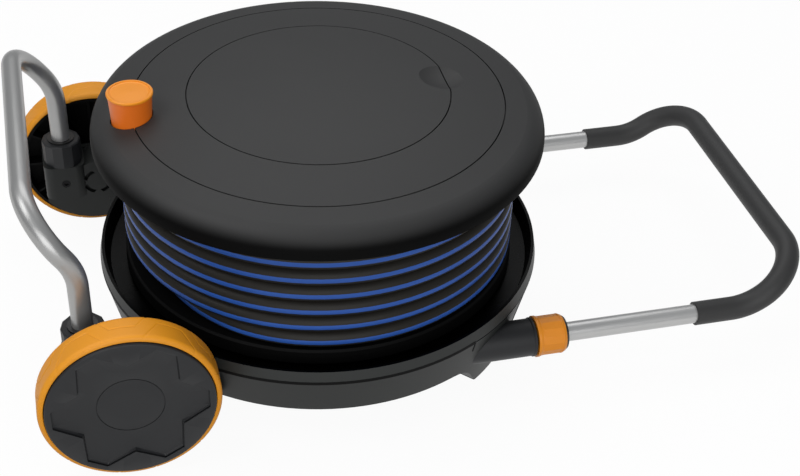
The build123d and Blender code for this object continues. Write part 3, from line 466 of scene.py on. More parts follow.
@dataclass(frozen=True)
class FoamSkin(Finish):
    """Foam or rubber with a moulded skin: fine pores and a soft sheen at the edges.

    Its pores are about 0.2 mm across and are drawn coarser, so that they still show.
    """

    pore_mm: float = 0.8
    depth_mm: float = 0.05
    pore_blend: float = 0.6
    sheen: float = 0.12
    sheen_roughness: float = 0.4

    def relief(
        self, tree: bpy.types.NodeTree
    ) -> tuple[bpy.types.NodeSocket, bpy.types.NodeSocket, float]:
        """Rounded cells of foam.

        Args:
            tree: The material's node tree.

        Returns:
            The vector that the tone uses, the relief from 0 to 1 and its depth in millimetres.
        """
        place = add_node(tree, "ShaderNodeTexCoord").outputs["Object"]
        cells = add_node(
            tree,
            "ShaderNodeTexVoronoi",
            {"feature": "SMOOTH_F1"},
            {"Vector": place, "Scale": per_metre(self.pore_mm), "Smoothness": self.pore_blend},
        )
        return place, cells.outputs["Distance"], self.depth_mm

    def surface(self) -> dict[str | int, object]:
        """A little sheen, as skinned foam has.

        Returns:
            Fixed values of the shader's own sockets.
        """
        return {
            "IOR": self.ior,
            "Sheen Weight": self.sheen,
            "Sheen Roughness": self.sheen_roughness,
        }


# Panel, lid and plate: the eroded face scatters light, so that the dome reads as one soft grey.
FLANGE = GrainedPlastic("polypropylene_spark_eroded_graphite", "#232323", "#272727", 0.62)
# The flange's rolled rim: the same grey on top, and painted shade that goes near black where the roll
# turns under.
ROLL_PAINTED_SHADE = RolledPlastic("polypropylene_spark_eroded_graphite_roll", "#232323", "#272727", 0.62)
# Tub and brackets: a cooler, darker grey with a low and even gloss.
BASE = GrainedPlastic("polypropylene_spark_eroded_slate", "#1a1c1b", "#1e201f", 0.5, shine=0.28)
# The tray's outer band: the tub's grain and grey, a shade lighter as painted light on its upward face.
BAND_PAINTED_LIGHT = GrainedPlastic("polypropylene_spark_eroded_slate_rim", "#232524", "#272928", 0.5, shine=0.32)
# Sockets, nuts and hub caps: the darkest grain, on which the star's edges show only as lines.
HUB = GrainedPlastic("polypropylene_spark_eroded_charcoal", "#18191b", "#1c1d1f", 0.5, shine=0.36)
# Insides of wheels: moulded black. Lower flange and joint lines: the same black as painted shade,
# standing for the shade under the hose and in the joints' grooves. It gives back almost no light.
BLACK_AND_PAINTED_SHADE = GrainedPlastic("polypropylene_moulded_black", "#020202", "#040404", 0.6, shine=0.1)
# Drip tray and drum: polished black, with dim soft reflections of the hose above it.
TRAY = PolishedPlastic("polypropylene_polished_black", "#010101", "#020201", 0.28, shine=0.1)
# Collars and the knob's cap: a saturated amber with a satin gloss.
ORANGE = GrainedPlastic("abs_moulded_orange", "#e88c12", "#ec9216", 0.42, depth_mm=0.015)
# The knob's side: the same moulded gloss, in a deeper, redder orange that is painted shade on the side
# turned from the light.
KNOB_SIDE_PAINTED_SHADE = GrainedPlastic("abs_moulded_deep_orange", "#e26c14", "#e67218", 0.42, depth_mm=0.015)
# Tyres: a softer plastic, duller than the collars, with no sharp highlight.
TYRE = GrainedPlastic("tpe_moulded_orange", "#e1900e", "#e59712", 0.55, depth_mm=0.02)
# Handle tube: bright, with soft bands of light along it.
TUBE = AnodisedTube("aluminium_satin_anodised", "#b9b9b8", "#c2c2c1", 0.33, uneven=0.04)
# Stand hoop: the same tube, a little duller after bending.
HOOP = AnodisedTube("aluminium_satin_anodised_bent", "#a0a09f", "#a9a9a8", 0.35, uneven=0.04)
# Handle grip: soft black with fine pores and a dull sheen.
GRIP = FoamSkin("eva_foam_skinned_black", "#262626", "#2b2b2b", 0.58)
# Hose: a warm black with faint lines along it.
HOSE = DrawnFinish("pvc_extruded_umber_black", "#1e1c19", "#23211e", 0.5, shine=0.2)
# The hose's stripe, extruded with it: a clean satin blue line.
STRIPE = DrawnFinish("pvc_extruded_blue_stripe", "#2750a0", "#2b57a6", 0.45, shine=0.3)
# Bushes, collets, washer and swivel: smooth, slightly waxy black.
ACETAL = GrainedPlastic("acetal_turned_black", "#141414", "#181818", 0.4)
# Screws, clips and axles: cool and bright.
STEEL = PlatedMetal("steel_zinc_plated", "#9a9c9e", "#a5a7a8", 0.36)
# Screws of the hoop's legs: a dark metal with a dull glint.
BLACKENED = PlatedMetal("steel_black_oxide", "#1c1c1d", "#242425", 0.42)
# Inlet and hose fittings: a warmer, brighter metal than the screws.
BRASS = PlatedMetal("brass_nickel_plated", "#a8a49c", "#b3afa6", 0.3)
# Feed pipe: plain matt black.
PIPE = GrainedPlastic("polyethylene_pipe_black", "#121212", "#161616", 0.45)
# Seals and foot pads: dull black with no glint.
RUBBER = FoamSkin("nitrile_rubber_moulded_black", "#101010", "#151515", 0.65)


# ------------------------------------------------------------------ mesh tools


@dataclass(frozen=True)
class Envelope:
    """The box of a CAD node at rest, in millimetres."""

    low: Vector
    high: Vector

    @classmethod
    def of(cls, node: str) -> Envelope:
        """The box of the CAD node with this name."""
        low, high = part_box(node)
        return cls(Vector(low) / MM, Vector(high) / MM)

    @property
    def centre(self) -> Vector:
        """The middle of the box."""
        return (self.low + self.high) / 2

    @property
    def size(self) -> Vector:
        """The box's three sides."""
        return self.high - self.low


def corner_arc(
    before: Vector, here: Vector, after: Vector, radius: float
) -> tuple[Vector, Vector, Vector, float]:
    """The arc that rounds a corner off.

    Args:
        before: A point on the run that comes in.
        here: The corner.
        after: A point on the run that goes on.
        radius: The arc's radius.

    Returns:
        Its centre, its first and last points from there, and half the angle of the corner.
    """
    back = (before - here).normalized()
    on = (after - here).normalized()
    half = back.angle(on) / 2
    reach = radius / math.tan(half)
    centre = here + (back + on).normalized() * (radius / math.sin(half))
    return centre, here + back * reach - centre, here + on * reach - centre, half


def rounded(corners: Sequence[Corner], steps: int) -> list[Flat]:
    """A closed outline with an arc in place of each corner.

    Args:
        corners: Each corner's two coordinates and its radius.
        steps: Straight pieces in each arc.

    Returns:
        The outline's points, in the corners' order.
    """
    outline: list[Flat] = []
    count = len(corners)
    for i, (x, y, radius) in enumerate(corners):
        before = Vector(corners[i - 1][:2])
        after = Vector(corners[(i + 1) % count][:2])
        centre, first, last, _ = corner_arc(before, Vector((x, y)), after, radius)
        for k in range(steps + 1):
            arm = first.slerp(last, k / steps) if 0 < k < steps else (first, last)[k // steps]
            outline.append(tuple(centre + arm.normalized() * radius))
    return outline


def lattice(rows: int, columns: int, closed: bool) -> list[tuple[int, ...]]:
    """The quads between rings of points.

    Args:
        rows: Number of rings.
        columns: Number of points in a ring.
        closed: Whether the last ring joins the first.

    Returns:
        Four point numbers for each quad.
    """
    quads = []
    for i in range(rows if closed else rows - 1):
        for j in range(columns):
            below = (i + 1) % rows * columns
            beside = (j + 1) % columns
            quads.append((i * columns + j, i * columns + beside, below + beside, below + j))
    return quads


def solid(
    name: str,
    points: Sequence[Sequence[float]],
    faces: Sequence[Sequence[int]],
    *finishes: Finish,
    sharp: float = 32.0,
) -> bpy.types.Object:
    """Makes a mesh object from points in millimetres.

    Args:
        name: The object's name.
        points: Vertices.
        faces: Vertex numbers of each face.
        finishes: Its finishes, the first on every face.
        sharp: Edges that turn by more than this many degrees stay crisp.

    Returns:
        The new object, with its normals outwards.
    """
    mesh = bpy.data.meshes.new(name)
    mesh.from_pydata([Vector(p) * MM for p in points], [], [list(f) for f in faces])
    draft = bmesh.new()
    draft.from_mesh(mesh)
    bmesh.ops.remove_doubles(draft, verts=draft.verts, dist=1e-7)
    bmesh.ops.recalc_face_normals(draft, faces=draft.faces)
    draft.to_mesh(mesh)
    draft.free()
    mesh.shade_smooth()
    mesh.set_sharp_from_angle(angle=math.radians(sharp))
    for finish in finishes:
        mesh.materials.append(finish.material())
    piece = bpy.data.objects.new(name, mesh)
    bpy.context.scene.collection.objects.link(piece)
    return piece


def strip(
    name: str, sections: Sequence[Sequence[Sequence[float]]], *finishes: Finish
) -> bpy.types.Object:
    """A closed bar through sections that all have as many points.

    Args:
        name: The object's name.
        sections: The points of each section, in millimetres.
        finishes: Its finishes, the first on every face.

    Returns:
        The new object.
    """
    around = len(sections[0])
    last = around * (len(sections) - 1)
    faces: list[tuple[int, ...]] = lattice(len(sections), around, closed=False)
    faces += [tuple(range(around)), tuple(range(last, last + around))]
    return solid(name, [point for section in sections for point in section], faces, *finishes)


def turned(
    outline_at: Callable[[float], Sequence[Flat]], steps: int, to_frame: Matrix
) -> tuple[list[Vector], list[tuple[int, ...]]]:
    """A closed outline turned about +Z, and then laid in the cart's frame.

    Args:
        outline_at: The outline's points (radius, height) at an angle in radians.
        steps: Divisions of the full turn.
        to_frame: Where the turned piece lies, in millimetres.

    Returns:
        Points and faces.
    """
    points: list[Vector] = []
    for j in range(steps):
        angle = math.tau * j / steps
        for radius, height in outline_at(angle):
            spot = Vector((radius * math.cos(angle), radius * math.sin(angle), height))
            points.append(to_frame @ spot)
    return points, lattice(steps, len(points) // steps, closed=True)


def across(x: float, z: float, side: Side) -> Matrix:
    """The frame of a piece turned about the axle.

    Args:
        x: Where the axle lies along X.
        z: How high it lies.
        side: The side that the piece's +Z points out to.

    Returns:
        The matrix from the piece's frame to the cart's, in millimetres.
    """
    return Matrix(((1, 0, 0, x), (0, 0, side.value, 0), (0, 1, 0, z), (0, 0, 0, 1)))


def bend(points: Sequence[Point], radii: Sequence[float], step: float = 4.0) -> list[Vector]:
    """Straight runs joined by tangent arcs.

    Args:
        points: The ends and corners of the runs.
        radii: The centre-line radius at each corner.
        step: Degrees turned by each straight piece of an arc.

    Returns:
        The points of the line.
    """
    line = [Vector(points[0])]
    for i, radius in enumerate(radii, start=1):
        before, here, after = (Vector(point) for point in points[i - 1 : i + 2])
        centre, first, last, half = corner_arc(before, here, after, radius)
        pieces = max(2, round(math.degrees(math.pi - 2 * half) / step))
        axis = first.cross(last).normalized()
        turn = first.angle(last) / pieces
        for k in range(pieces + 1):
            line.append(centre + Matrix.Rotation(turn * k, 3, axis) @ first)
    line.append(Vector(points[-1]))
    return line


def frames(line: Sequence[Vector]) -> list[tuple[Vector, Vector, Vector]]:
    """A tangent and two crosswise directions at each point of a line, without twist.

    Args:
        line: The points.

    Returns:
        For each point its tangent, up and side.
    """
    found = []
    # A line that starts upwards has no up across it, so it takes +X in its place.
    steep = abs((line[1] - line[0]).normalized().z) > 0.9
    up = Vector((1, 0, 0)) if steep else Vector((0, 0, 1))
    for i in range(len(line)):
        tangent = (line[min(i + 1, len(line) - 1)] - line[max(i - 1, 0)]).normalized()
        up = (up - tangent * up.dot(tangent)).normalized()
        found.append((tangent, up, tangent.cross(up)))
    return found


def pipe(
    name: str,
    line: Sequence[Vector],
    mouth: Sequence[Flat],
    radius: float,
    finish: Finish,
    sides: int = 32,
) -> bpy.types.Object:
    """A round pipe along a line, with a map in metres round and along it.

    Args:
        name: The object's name.
        line: Its centre line.
        mouth: For each ring of an open end, its radius and how far it lies past the line.
        radius: The pipe's outside radius.
        finish: Its finish.
        sides: Faces round it.

    Returns:
        The new object.
    """
    ways = frames(line)
    rings: list[tuple[Vector, tuple[Vector, Vector, Vector], float]] = []
    for size, past in mouth:
        rings.append((line[0] - ways[0][0] * past, ways[0], size))
    for place, way in zip(line, ways):
        rings.append((place, way, radius))
    for size, past in reversed(mouth):
        rings.append((line[-1] + ways[-1][0] * past, ways[-1], size))
    points = []
    for place, (_, up, aside), size in rings:
        for j in range(sides):
            angle = math.tau * j / sides
            points.append(place + (up * math.cos(angle) + aside * math.sin(angle)) * size)
    faces = lattice(len(rings), sides, closed=False)
    piece = solid(name, points, faces, finish)
    map_along(piece, line, radius)
    return piece


def map_along(piece: bpy.types.Object, line: Sequence[Vector], radius: float) -> None:
    """Gives a piece a map of metres round and along the line that it follows.

    Args:
        piece: The piece.
        line: The line.
        radius: The piece's outside radius.
    """
    mesh = piece.data
    track = np.array([tuple(p) for p in line]) * MM
    steps = np.linalg.norm(np.diff(track, axis=0), axis=1)
    run = np.concatenate([[0.0], np.cumsum(steps)])
    ways = frames(line)
    ups = np.array([tuple(w[1]) for w in ways])
    asides = np.array([tuple(w[2]) for w in ways])
    tangents = np.array([tuple(w[0]) for w in ways])
    layer = mesh.uv_layers.new(name="run")
    spots = np.array([tuple(v.co) for v in mesh.vertices])
    nearest = np.array([int(np.argmin(((track - s) ** 2).sum(1))) for s in spots])
    arms = spots - track[nearest]
    down = run[nearest] + (arms * tangents[nearest]).sum(1)
    turn = np.arctan2((arms * asides[nearest]).sum(1), (arms * ups[nearest]).sum(1))
    for face in mesh.polygons:
        turns = [turn[mesh.loops[i].vertex_index] for i in face.loop_indices]
        wraps = max(turns) - min(turns) > math.pi
        for i, angle in zip(face.loop_indices, turns):
            full = angle + math.tau if wraps and angle < 0 else angle
            layer.data[i].uv = (full * radius * MM, down[mesh.loops[i].vertex_index])


def dress(node: str, finish: Finish) -> None:
    """Gives a CAD node its finish.

    Args:
        node: The CAD node.
        finish: The finish that all of it gets.
    """
    piece = FRAME["nodes"][node]
    piece.data.materials.clear()
    piece.data.materials.append(finish.material())
    log.info("%s: CAD node in %s", node, finish.name)


def dress_where(node: str, finish: Finish, belongs: Callable[[Vector], bool]) -> None:
    """Gives some faces of a dressed CAD node a second finish.

    Args:
        node: The CAD node.
        finish: The second finish.
        belongs: Whether a face with its middle at this place, in millimetres, gets it.
    """
    piece = FRAME["nodes"][node]
    piece.data.materials.append(finish.material())
    for face in piece.data.polygons:
        if belongs(piece.matrix_world @ face.center / MM):
            face.material_index = 1


def stands_for(piece: bpy.types.Object, body: str, slot: str, *nodes: str) -> None:
    """Puts a piece on a body in place of CAD nodes.

    Args:
        piece: The piece.
        body: The CAD body that it rides on.
        slot: A material slot's name; not used.
        nodes: The CAD nodes that it stands for, if any.
    """
    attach(piece, body)
    if nodes:
        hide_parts(*nodes)
    log.info("%s: %d faces on body %s", piece.name, len(piece.data.polygons), body)


# ------------------------------------------------------------------ camera, floor and light


@dataclass(frozen=True)
class Lamp:
    """One soft rectangular lamp: where it hangs, its two sides, its power and what it faces."""

    name: str
    place: Point
    size: Flat
    watts: float
    aim: Point

    def hang(self) -> None:
        """Adds the lamp to the scene."""
        light = bpy.data.lights.new(self.name, "AREA")
        light.shape = "RECTANGLE"
        light.size = self.size[0] * MM
        light.size_y = self.size[1] * MM
        light.energy = self.watts
        lamp = bpy.data.objects.new(self.name, light)
        bpy.context.scene.collection.objects.link(lamp)
        way = Vector(self.aim) - Vector(self.place)
        turn = way.to_track_quat("-Z", "Y").to_matrix().to_4x4()
        lamp.matrix_world = Matrix.Translation(Vector(self.place) * MM) @ turn


@dataclass
class Studio:
    """A pale floor, a white surround and soft lamps, seen from above the right rear wheel.

    The eye is in millimetres, its three turns are in degrees, and the lens and the sensor are
    in millimetres. The white share is how much of the floor's white is its own light.
    """

    eye: Point = (-235.854, -1170.704, 980.237)
    yaw: float = 15.3270
    pitch: float = 37.0481
    roll: float = 2.2397
    lens: float = 66.092
    sensor: float = 36.0
    floor_size: float = 9000.0
    floor_colour: str = "#fafafa"
    bounce_colour: str = "#8c8c8c"
    white_share: float = 0.94
    surround: str = "#c9cbce"
    horizon: str = "#a9abae"
    surround_strength: float = 0.62
    lamps: tuple[Lamp, ...] = (
        Lamp("key", (-1000, -200, 1500), (900, 900), 9.0, (0, 0, 150)),
        Lamp("top", (200, 900, 1700), (1500, 1200), 11.0, (50, 0, 150)),
        Lamp("front", (-300, -2000, 900), (2000, 1400), 25.0, (0, 0, 100)),
    )

    def camera(self) -> None:
        """Sets up the camera from its yaw, pitch and roll."""
        lens = bpy.data.cameras.new("camera")
        lens.lens = self.lens
        lens.sensor_width = self.sensor
        view = bpy.data.objects.new("camera", lens)
        bpy.context.scene.collection.objects.link(view)
        turn = (
            Matrix.Rotation(-math.radians(self.yaw), 4, "Z")
            @ Matrix.Rotation(math.radians(90 - self.pitch), 4, "X")
            @ Matrix.Rotation(math.radians(self.roll), 4, "Z")
        )
        view.matrix_world = Matrix.Translation(Vector(self.eye) * MM) @ turn
        bpy.context.scene.camera = view

    def floor(self) -> None:
        """A floor that shows white with a soft shadow and sends little light back up.

        It is matt white paper to the eye and in reflections. To all other light it is grey,
        so that the undersides stay dark.
        """
        half = self.floor_size / 2
        corners = [(-half, -half, 0), (half, -half, 0), (half, half, 0), (-half, half, 0)]
        plane = solid("floor", corners, [(0, 1, 2, 3)])
        made = bpy.data.materials.new("floor_white_paper")
        made.use_nodes = True
        tree = made.node_tree
        tree.nodes.clear()
        ray = add_node(tree, "ShaderNodeLightPath").outputs
        seen = add_node(
            tree,
            "ShaderNodeMath",
            {"operation": "MAXIMUM"},
            {0: ray["Is Camera Ray"], 1: ray["Is Glossy Ray"]},
        )
        colour = add_node(
            tree,
            "ShaderNodeMix",
            {"data_type": "RGBA"},
            {
                "Factor": seen.outputs["Value"],
                "A": linear(self.bounce_colour),
                "B": linear(self.floor_colour),
            },
        )
        paper = add_node(tree, "ShaderNodeBsdfDiffuse", inputs={"Color": colour.outputs["Result"]})
        white = add_node(tree, "ShaderNodeEmission", inputs={"Strength": 1.0})
        share = add_node(
            tree,
            "ShaderNodeMath",
            {"operation": "MULTIPLY"},
            {0: seen.outputs["Value"], 1: self.white_share},
        )
        both = add_node(
            tree,
            "ShaderNodeMixShader",
            inputs={0: share.outputs["Value"], 1: paper.outputs["BSDF"], 2: white.outputs[0]},
        )
        add_node(tree, "ShaderNodeOutputMaterial", inputs={"Surface": both.outputs[0]})
        plane.data.materials.append(made)

    def world(self) -> None:
        """A surround that is white to the eye and brighter overhead than at the horizon."""
        world = bpy.data.worlds.new("surround")
        bpy.context.scene.world = world
        world.use_nodes = True
        tree = world.node_tree
        tree.nodes.clear()
        way = add_node(tree, "ShaderNodeTexCoord").outputs["Generated"]
        height = add_node(tree, "ShaderNodeSeparateXYZ", inputs={0: way}).outputs["Z"]
        rise = add_node(
            tree, "ShaderNodeMapRange", inputs={"Value": height, "From Min": 0.0, "From Max": 1.0}
        )
        colour = add_node(
            tree,
            "ShaderNodeMix",
            {"data_type": "RGBA"},
            {
                "Factor": rise.outputs["Result"],
                "A": linear(self.horizon),
                "B": linear(self.surround),
            },
        )
        light = add_node(
            tree,
            "ShaderNodeBackground",
            inputs={"Color": colour.outputs["Result"], "Strength": self.surround_strength},
        )
        white = add_node(
            tree,
            "ShaderNodeBackground",
            inputs={"Color": linear(self.floor_colour), "Strength": 1.0},
        )
        ray = add_node(tree, "ShaderNodeLightPath").outputs
        both = add_node(
            tree,
            "ShaderNodeMixShader",
            inputs={0: ray["Is Camera Ray"], 1: light.outputs[0], 2: white.outputs[0]},
        )
        add_node(tree, "ShaderNodeOutputWorld", inputs={"Surface": both.outputs[0]})

    def build(self) -> None:
        """Camera, floor, surround and lamps."""
        self.camera()
        self.floor()
        self.world()
        for lamp in self.lamps:
            lamp.hang()
        bpy.context.scene.view_settings.view_transform = "Standard"


# ------------------------------------------------------------------ the hose


@dataclass
class Hose:
    """Half-inch hose, wound six turns high and three layers deep.

    The turns lie level and step to the next level or layer on the far side of the reel. Each
    layer makes its steps a little earlier than the one under it, so that no turn meets another.
    Angles are in degrees. The shares and the first step's lead are parts of one turn.
    """

    diameter: float = 17.8
    wall_gap: float = 0.15
    levels: int = 6
    layers: int = 3
    points_per_turn: int = 24
    smooth_per_point: int = 4
    sides: int = 22
    start_angle: float = 92.0
    step_share: float = 0.18
    first_step_lead: float = 0.02
    stripe_half_angle: float = 15.5
    stripe_faces: int = 4
    fitting_share: float = 0.02

    def __post_init__(self) -> None:
        """Reads the drum and the winding from the frame."""
        self.drum = Envelope.of("drum_core")
        self.winding = Envelope.of("hose_winding")

    def seats(self) -> list[Flat]:
        """Where each turn lies.

        Returns:
            The radius and the height of each turn, in winding order.
        """
        found = []
        radius = self.drum.high.x + self.diameter / 2
        bottom = self.winding.low.z + self.diameter / 2
        for layer in range(self.layers):
            rising = range(self.levels) if layer % 2 == 0 else range(self.levels - 1, -1, -1)
            for level in rising:
                found.append((radius + layer * self.diameter, bottom + level * self.diameter))
        return found

    def steps(self) -> list[float]:
        """When each step to the next seat begins.

        Returns:
            For each step, how many turns have passed by then.
        """
        begins = []
        at = 1.0 - self.step_share - self.first_step_lead
        for turn in range(1, self.levels * self.layers):
            if turn % self.levels == 0:
                at -= self.step_share
            begins.append(at)
            at += 1.0
            if turn % self.levels == 0:
                at -= self.step_share
        return begins

    def route(self) -> list[Point]:
        """The way of the whole hose, from the swivel's elbow to its free end.

        Returns:
            Control points, a little outside the line that they give.
        """
        seats = self.seats()
        begins = self.steps()
        total = self.levels * self.layers - 1 - self.fitting_share
        count = round(total * self.points_per_turn)
        swell = 1.0 / math.cos(math.pi / self.points_per_turn)
        points = []
        for i in range(count + 1):
            gone = total * i / count
            passed = sum(1 for b in begins if gone >= b)
            radius, height = seats[passed]
            if passed:
                share = min(1.0, (gone - begins[passed - 1]) / self.step_share)
                ease = share * share * (3 - 2 * share)
                before = seats[passed - 1]
                radius = before[0] + (radius - before[0]) * ease
                height = before[1] + (height - before[1]) * ease
            angle = math.radians(self.start_angle) + math.tau * gone
            points.append(
                (radius * swell * math.cos(angle), radius * swell * math.sin(angle), height)
            )
        return points

    def centre_line(self) -> list[Vector]:
        """The hose's smooth line.

        Returns:
            Its points, in metres.
        """
        curve = bpy.data.curves.new("hose_line", "CURVE")
        curve.dimensions = "3D"
        route = self.route()
        spline = curve.splines.new("NURBS")
        spline.points.add(len(route) - 1)
        for point, spot in zip(spline.points, route):
            point.co = (*(Vector(spot) * MM), 1.0)
        spline.order_u = 3
        spline.use_endpoint_u = True
        spline.resolution_u = self.smooth_per_point
        holder = bpy.data.objects.new("hose_line", curve)
        bpy.context.scene.collection.objects.link(holder)
        mesh = bpy.data.meshes.new_from_object(holder)
        line = [v.co.copy() for v in mesh.vertices]
        bpy.data.objects.remove(holder)
        bpy.data.curves.remove(curve)
        bpy.data.meshes.remove(mesh)
        return line

    def ring_angles(self) -> list[float]:
        """The angles round the hose at which it has a corner.

        Returns:
            Angles in radians from its outermost line, first those of the stripe.
        """
        edge = math.radians(self.stripe_half_angle)
        inside = [edge * (2 * k / self.stripe_faces - 1) for k in range(self.stripe_faces + 1)]
        rest = self.sides - self.stripe_faces
        span = math.tau - 2 * edge
        outside = [edge + span * k / rest for k in range(1, rest)]
        return inside + outside

    def build(self) -> None:
        """Builds the wound hose with its blue stripe facing outwards."""
        line = self.centre_line()
        angles = self.ring_angles()
        radius = (self.diameter / 2 - self.wall_gap) * MM
        rings: list[list[Vector]] = []
        for i, spot in enumerate(line):
            tangent = (line[min(i + 1, len(line) - 1)] - line[max(i - 1, 0)]).normalized()
            out = Vector((spot.x, spot.y, 0)).normalized()
            out = (out - tangent * out.dot(tangent)).normalized()
            up = tangent.cross(out)
            arms = [out * math.cos(angle) + up * math.sin(angle) for angle in angles]
            rings.append([(spot + arm * radius) / MM for arm in arms])
        piece = strip("hose_coil", rings, HOSE, STRIPE)
        self.paint(piece, line, angles)
        stands_for(piece, "reel", "hose_pvc", "hose_winding")

    def paint(self, piece: bpy.types.Object, line: list[Vector], angles: list[float]) -> None:
        """Gives the stripe its finish, and the hose a map in metres round and along it.

        Args:
            piece: The hose.
            line: Its centre line, in metres.
            angles: The angles of its corners.
        """
        mesh = piece.data
        count = len(angles)
        layer = mesh.uv_layers.new(name="run")
        run = [0.0]
        for a, b in zip(line, line[1:]):
            run.append(run[-1] + (b - a).length)
        radius = self.diameter / 2 * MM
        for face in mesh.polygons:
            if len(face.vertices) != 4:
                continue
            columns = [v % count for v in face.vertices]
            face.material_index = 1 if max(columns) <= self.stripe_faces else 0
            wraps = max(columns) - min(columns) > 1
            for i, v in zip(face.loop_indices, face.vertices):
                column = v % count
                angle = angles[column] + (math.tau if wraps and column == 0 else 0.0)
                layer.data[i].uv = (angle * radius, run[v // count])


# ------------------------------------------------------------------ tubes and grips


@dataclass
class BentTube:
    """A tube of two arms, the same on both sides, with a knee and a corner in each."""

    tube_radius: float = 9.5
    wall: float = 1.5
    mouth_depth: float = 12.0
    mouth_edge: float = 0.3
    corner_bend: float = 50.0
    knee_bend: float = 56.0

    def line(self, arm: Sequence[Point]) -> list[Vector]:
        """The centre line with its four bends.

        Args:
            arm: The end, the knee and the corner of one arm.

        Returns:
            The points of the line, from that arm's end to the other's.
        """
        corners = [*arm, *[(x, -y, z) for x, y, z in reversed(arm)]]
        radii = [self.knee_bend, self.corner_bend, self.corner_bend, self.knee_bend]
        return bend(corners, radii)

    def mouth(self) -> list[Flat]:
        """An open end, from inside the bore to the cut face.

        Returns:
            The radius of each ring and how far it lies past the end.
        """
        bore = self.tube_radius - self.wall
        edge = self.mouth_edge
        return [
            (bore, -self.mouth_depth),
            (bore, -edge),
            (bore + edge, 0.0),
            (self.tube_radius - edge, 0.0),
        ]


@dataclass
class PullHandle(BentTube):
    """The telescopic handle: one bent tube with a foam grip over its front end."""

    corner_bend: float = 52.0
    knee_bend: float = 54.0
    knee_run: float = 57.1
    grip_gap: float = 0.1
    grip_depth: float = 6.0
    grip_flare: float = 0.5
    grip_flare_depth: float = 0.6
    grip_lip: float = 1.6
    grip_groove: float = 0.3
    grip_sides: int = 40

    def __post_init__(self) -> None:
        """Reads the tube and the grip from the frame."""
        self.tube = Envelope.of("handle_tube")
        self.grip = Envelope.of("handle_grip")

    def arm(self, start_x: float) -> list[Point]:
        """The arm on the right.

        Args:
            start_x: Where along the arm it starts.

        Returns:
            Its start, its knee and its corner.
        """
        y = self.tube.high.y - self.tube_radius
        low = self.tube.low.z + self.tube_radius
        high = self.tube.high.z - self.tube_radius
        front = self.tube.high.x - self.tube_radius
        return [(start_x, -y, low), (front - self.knee_run, -y, low), (front, -y, high)]

    def grip_mouth(self, radius: float) -> list[Flat]:
        """An end of the grip, which flares off the tube and has a fine groove inside its lip.

        Args:
            radius: The grip's outside radius.

        Returns:
            The radius of each ring and how far it lies past the end.
        """
        lip = self.grip_lip
        groove = lip * self.grip_groove
        return [
            (self.tube_radius + self.grip_gap, -self.grip_depth),
            (self.tube_radius + self.grip_gap, -self.grip_flare_depth),
            (self.tube_radius + self.grip_flare, 0.0),
            (radius - lip, 0.0),
            (radius - groove, -groove),
        ]

    def build(self) -> None:
        """Builds the tube and the grip."""
        tube_line = self.line(self.arm(self.tube.low.x))
        tube = pipe("pull_handle_tube", tube_line, self.mouth(), self.tube_radius, TUBE)
        stands_for(tube, "handle", "tube_aluminium", "handle_tube")
        radius = self.grip.high.x - self.tube.high.x + self.tube_radius
        grip_line = self.line(self.arm(self.grip.low.x))
        mouth = self.grip_mouth(radius)
        grip = pipe("foam_grip", grip_line, mouth, radius, GRIP, sides=self.grip_sides)
        stands_for(grip, "handle", "grip_foam", "handle_grip")


@dataclass
class StandHoop(BentTube):
    """The bent tube over the wheels, which the cart stands on when it is upended."""

    knee_drop: float = 56.7

    def build(self) -> None:
        """Builds the hoop from its box: two legs, two knees and a crossbar."""
        hoop = Envelope.of("stand_hoop")
        radius = self.tube_radius
        y = hoop.high.y - radius
        leg = hoop.high.x - radius
        back = hoop.low.x + radius
        top = hoop.high.z - radius
        arm = [(leg, -y, hoop.low.z), (leg, -y, top - self.knee_drop), (back, -y, top)]
        tube = pipe("stand_hoop_tube", self.line(arm), self.mouth(), radius, HOOP)
        stands_for(tube, "root", "tube_aluminium", "stand_hoop")


# ------------------------------------------------------------------ wheels


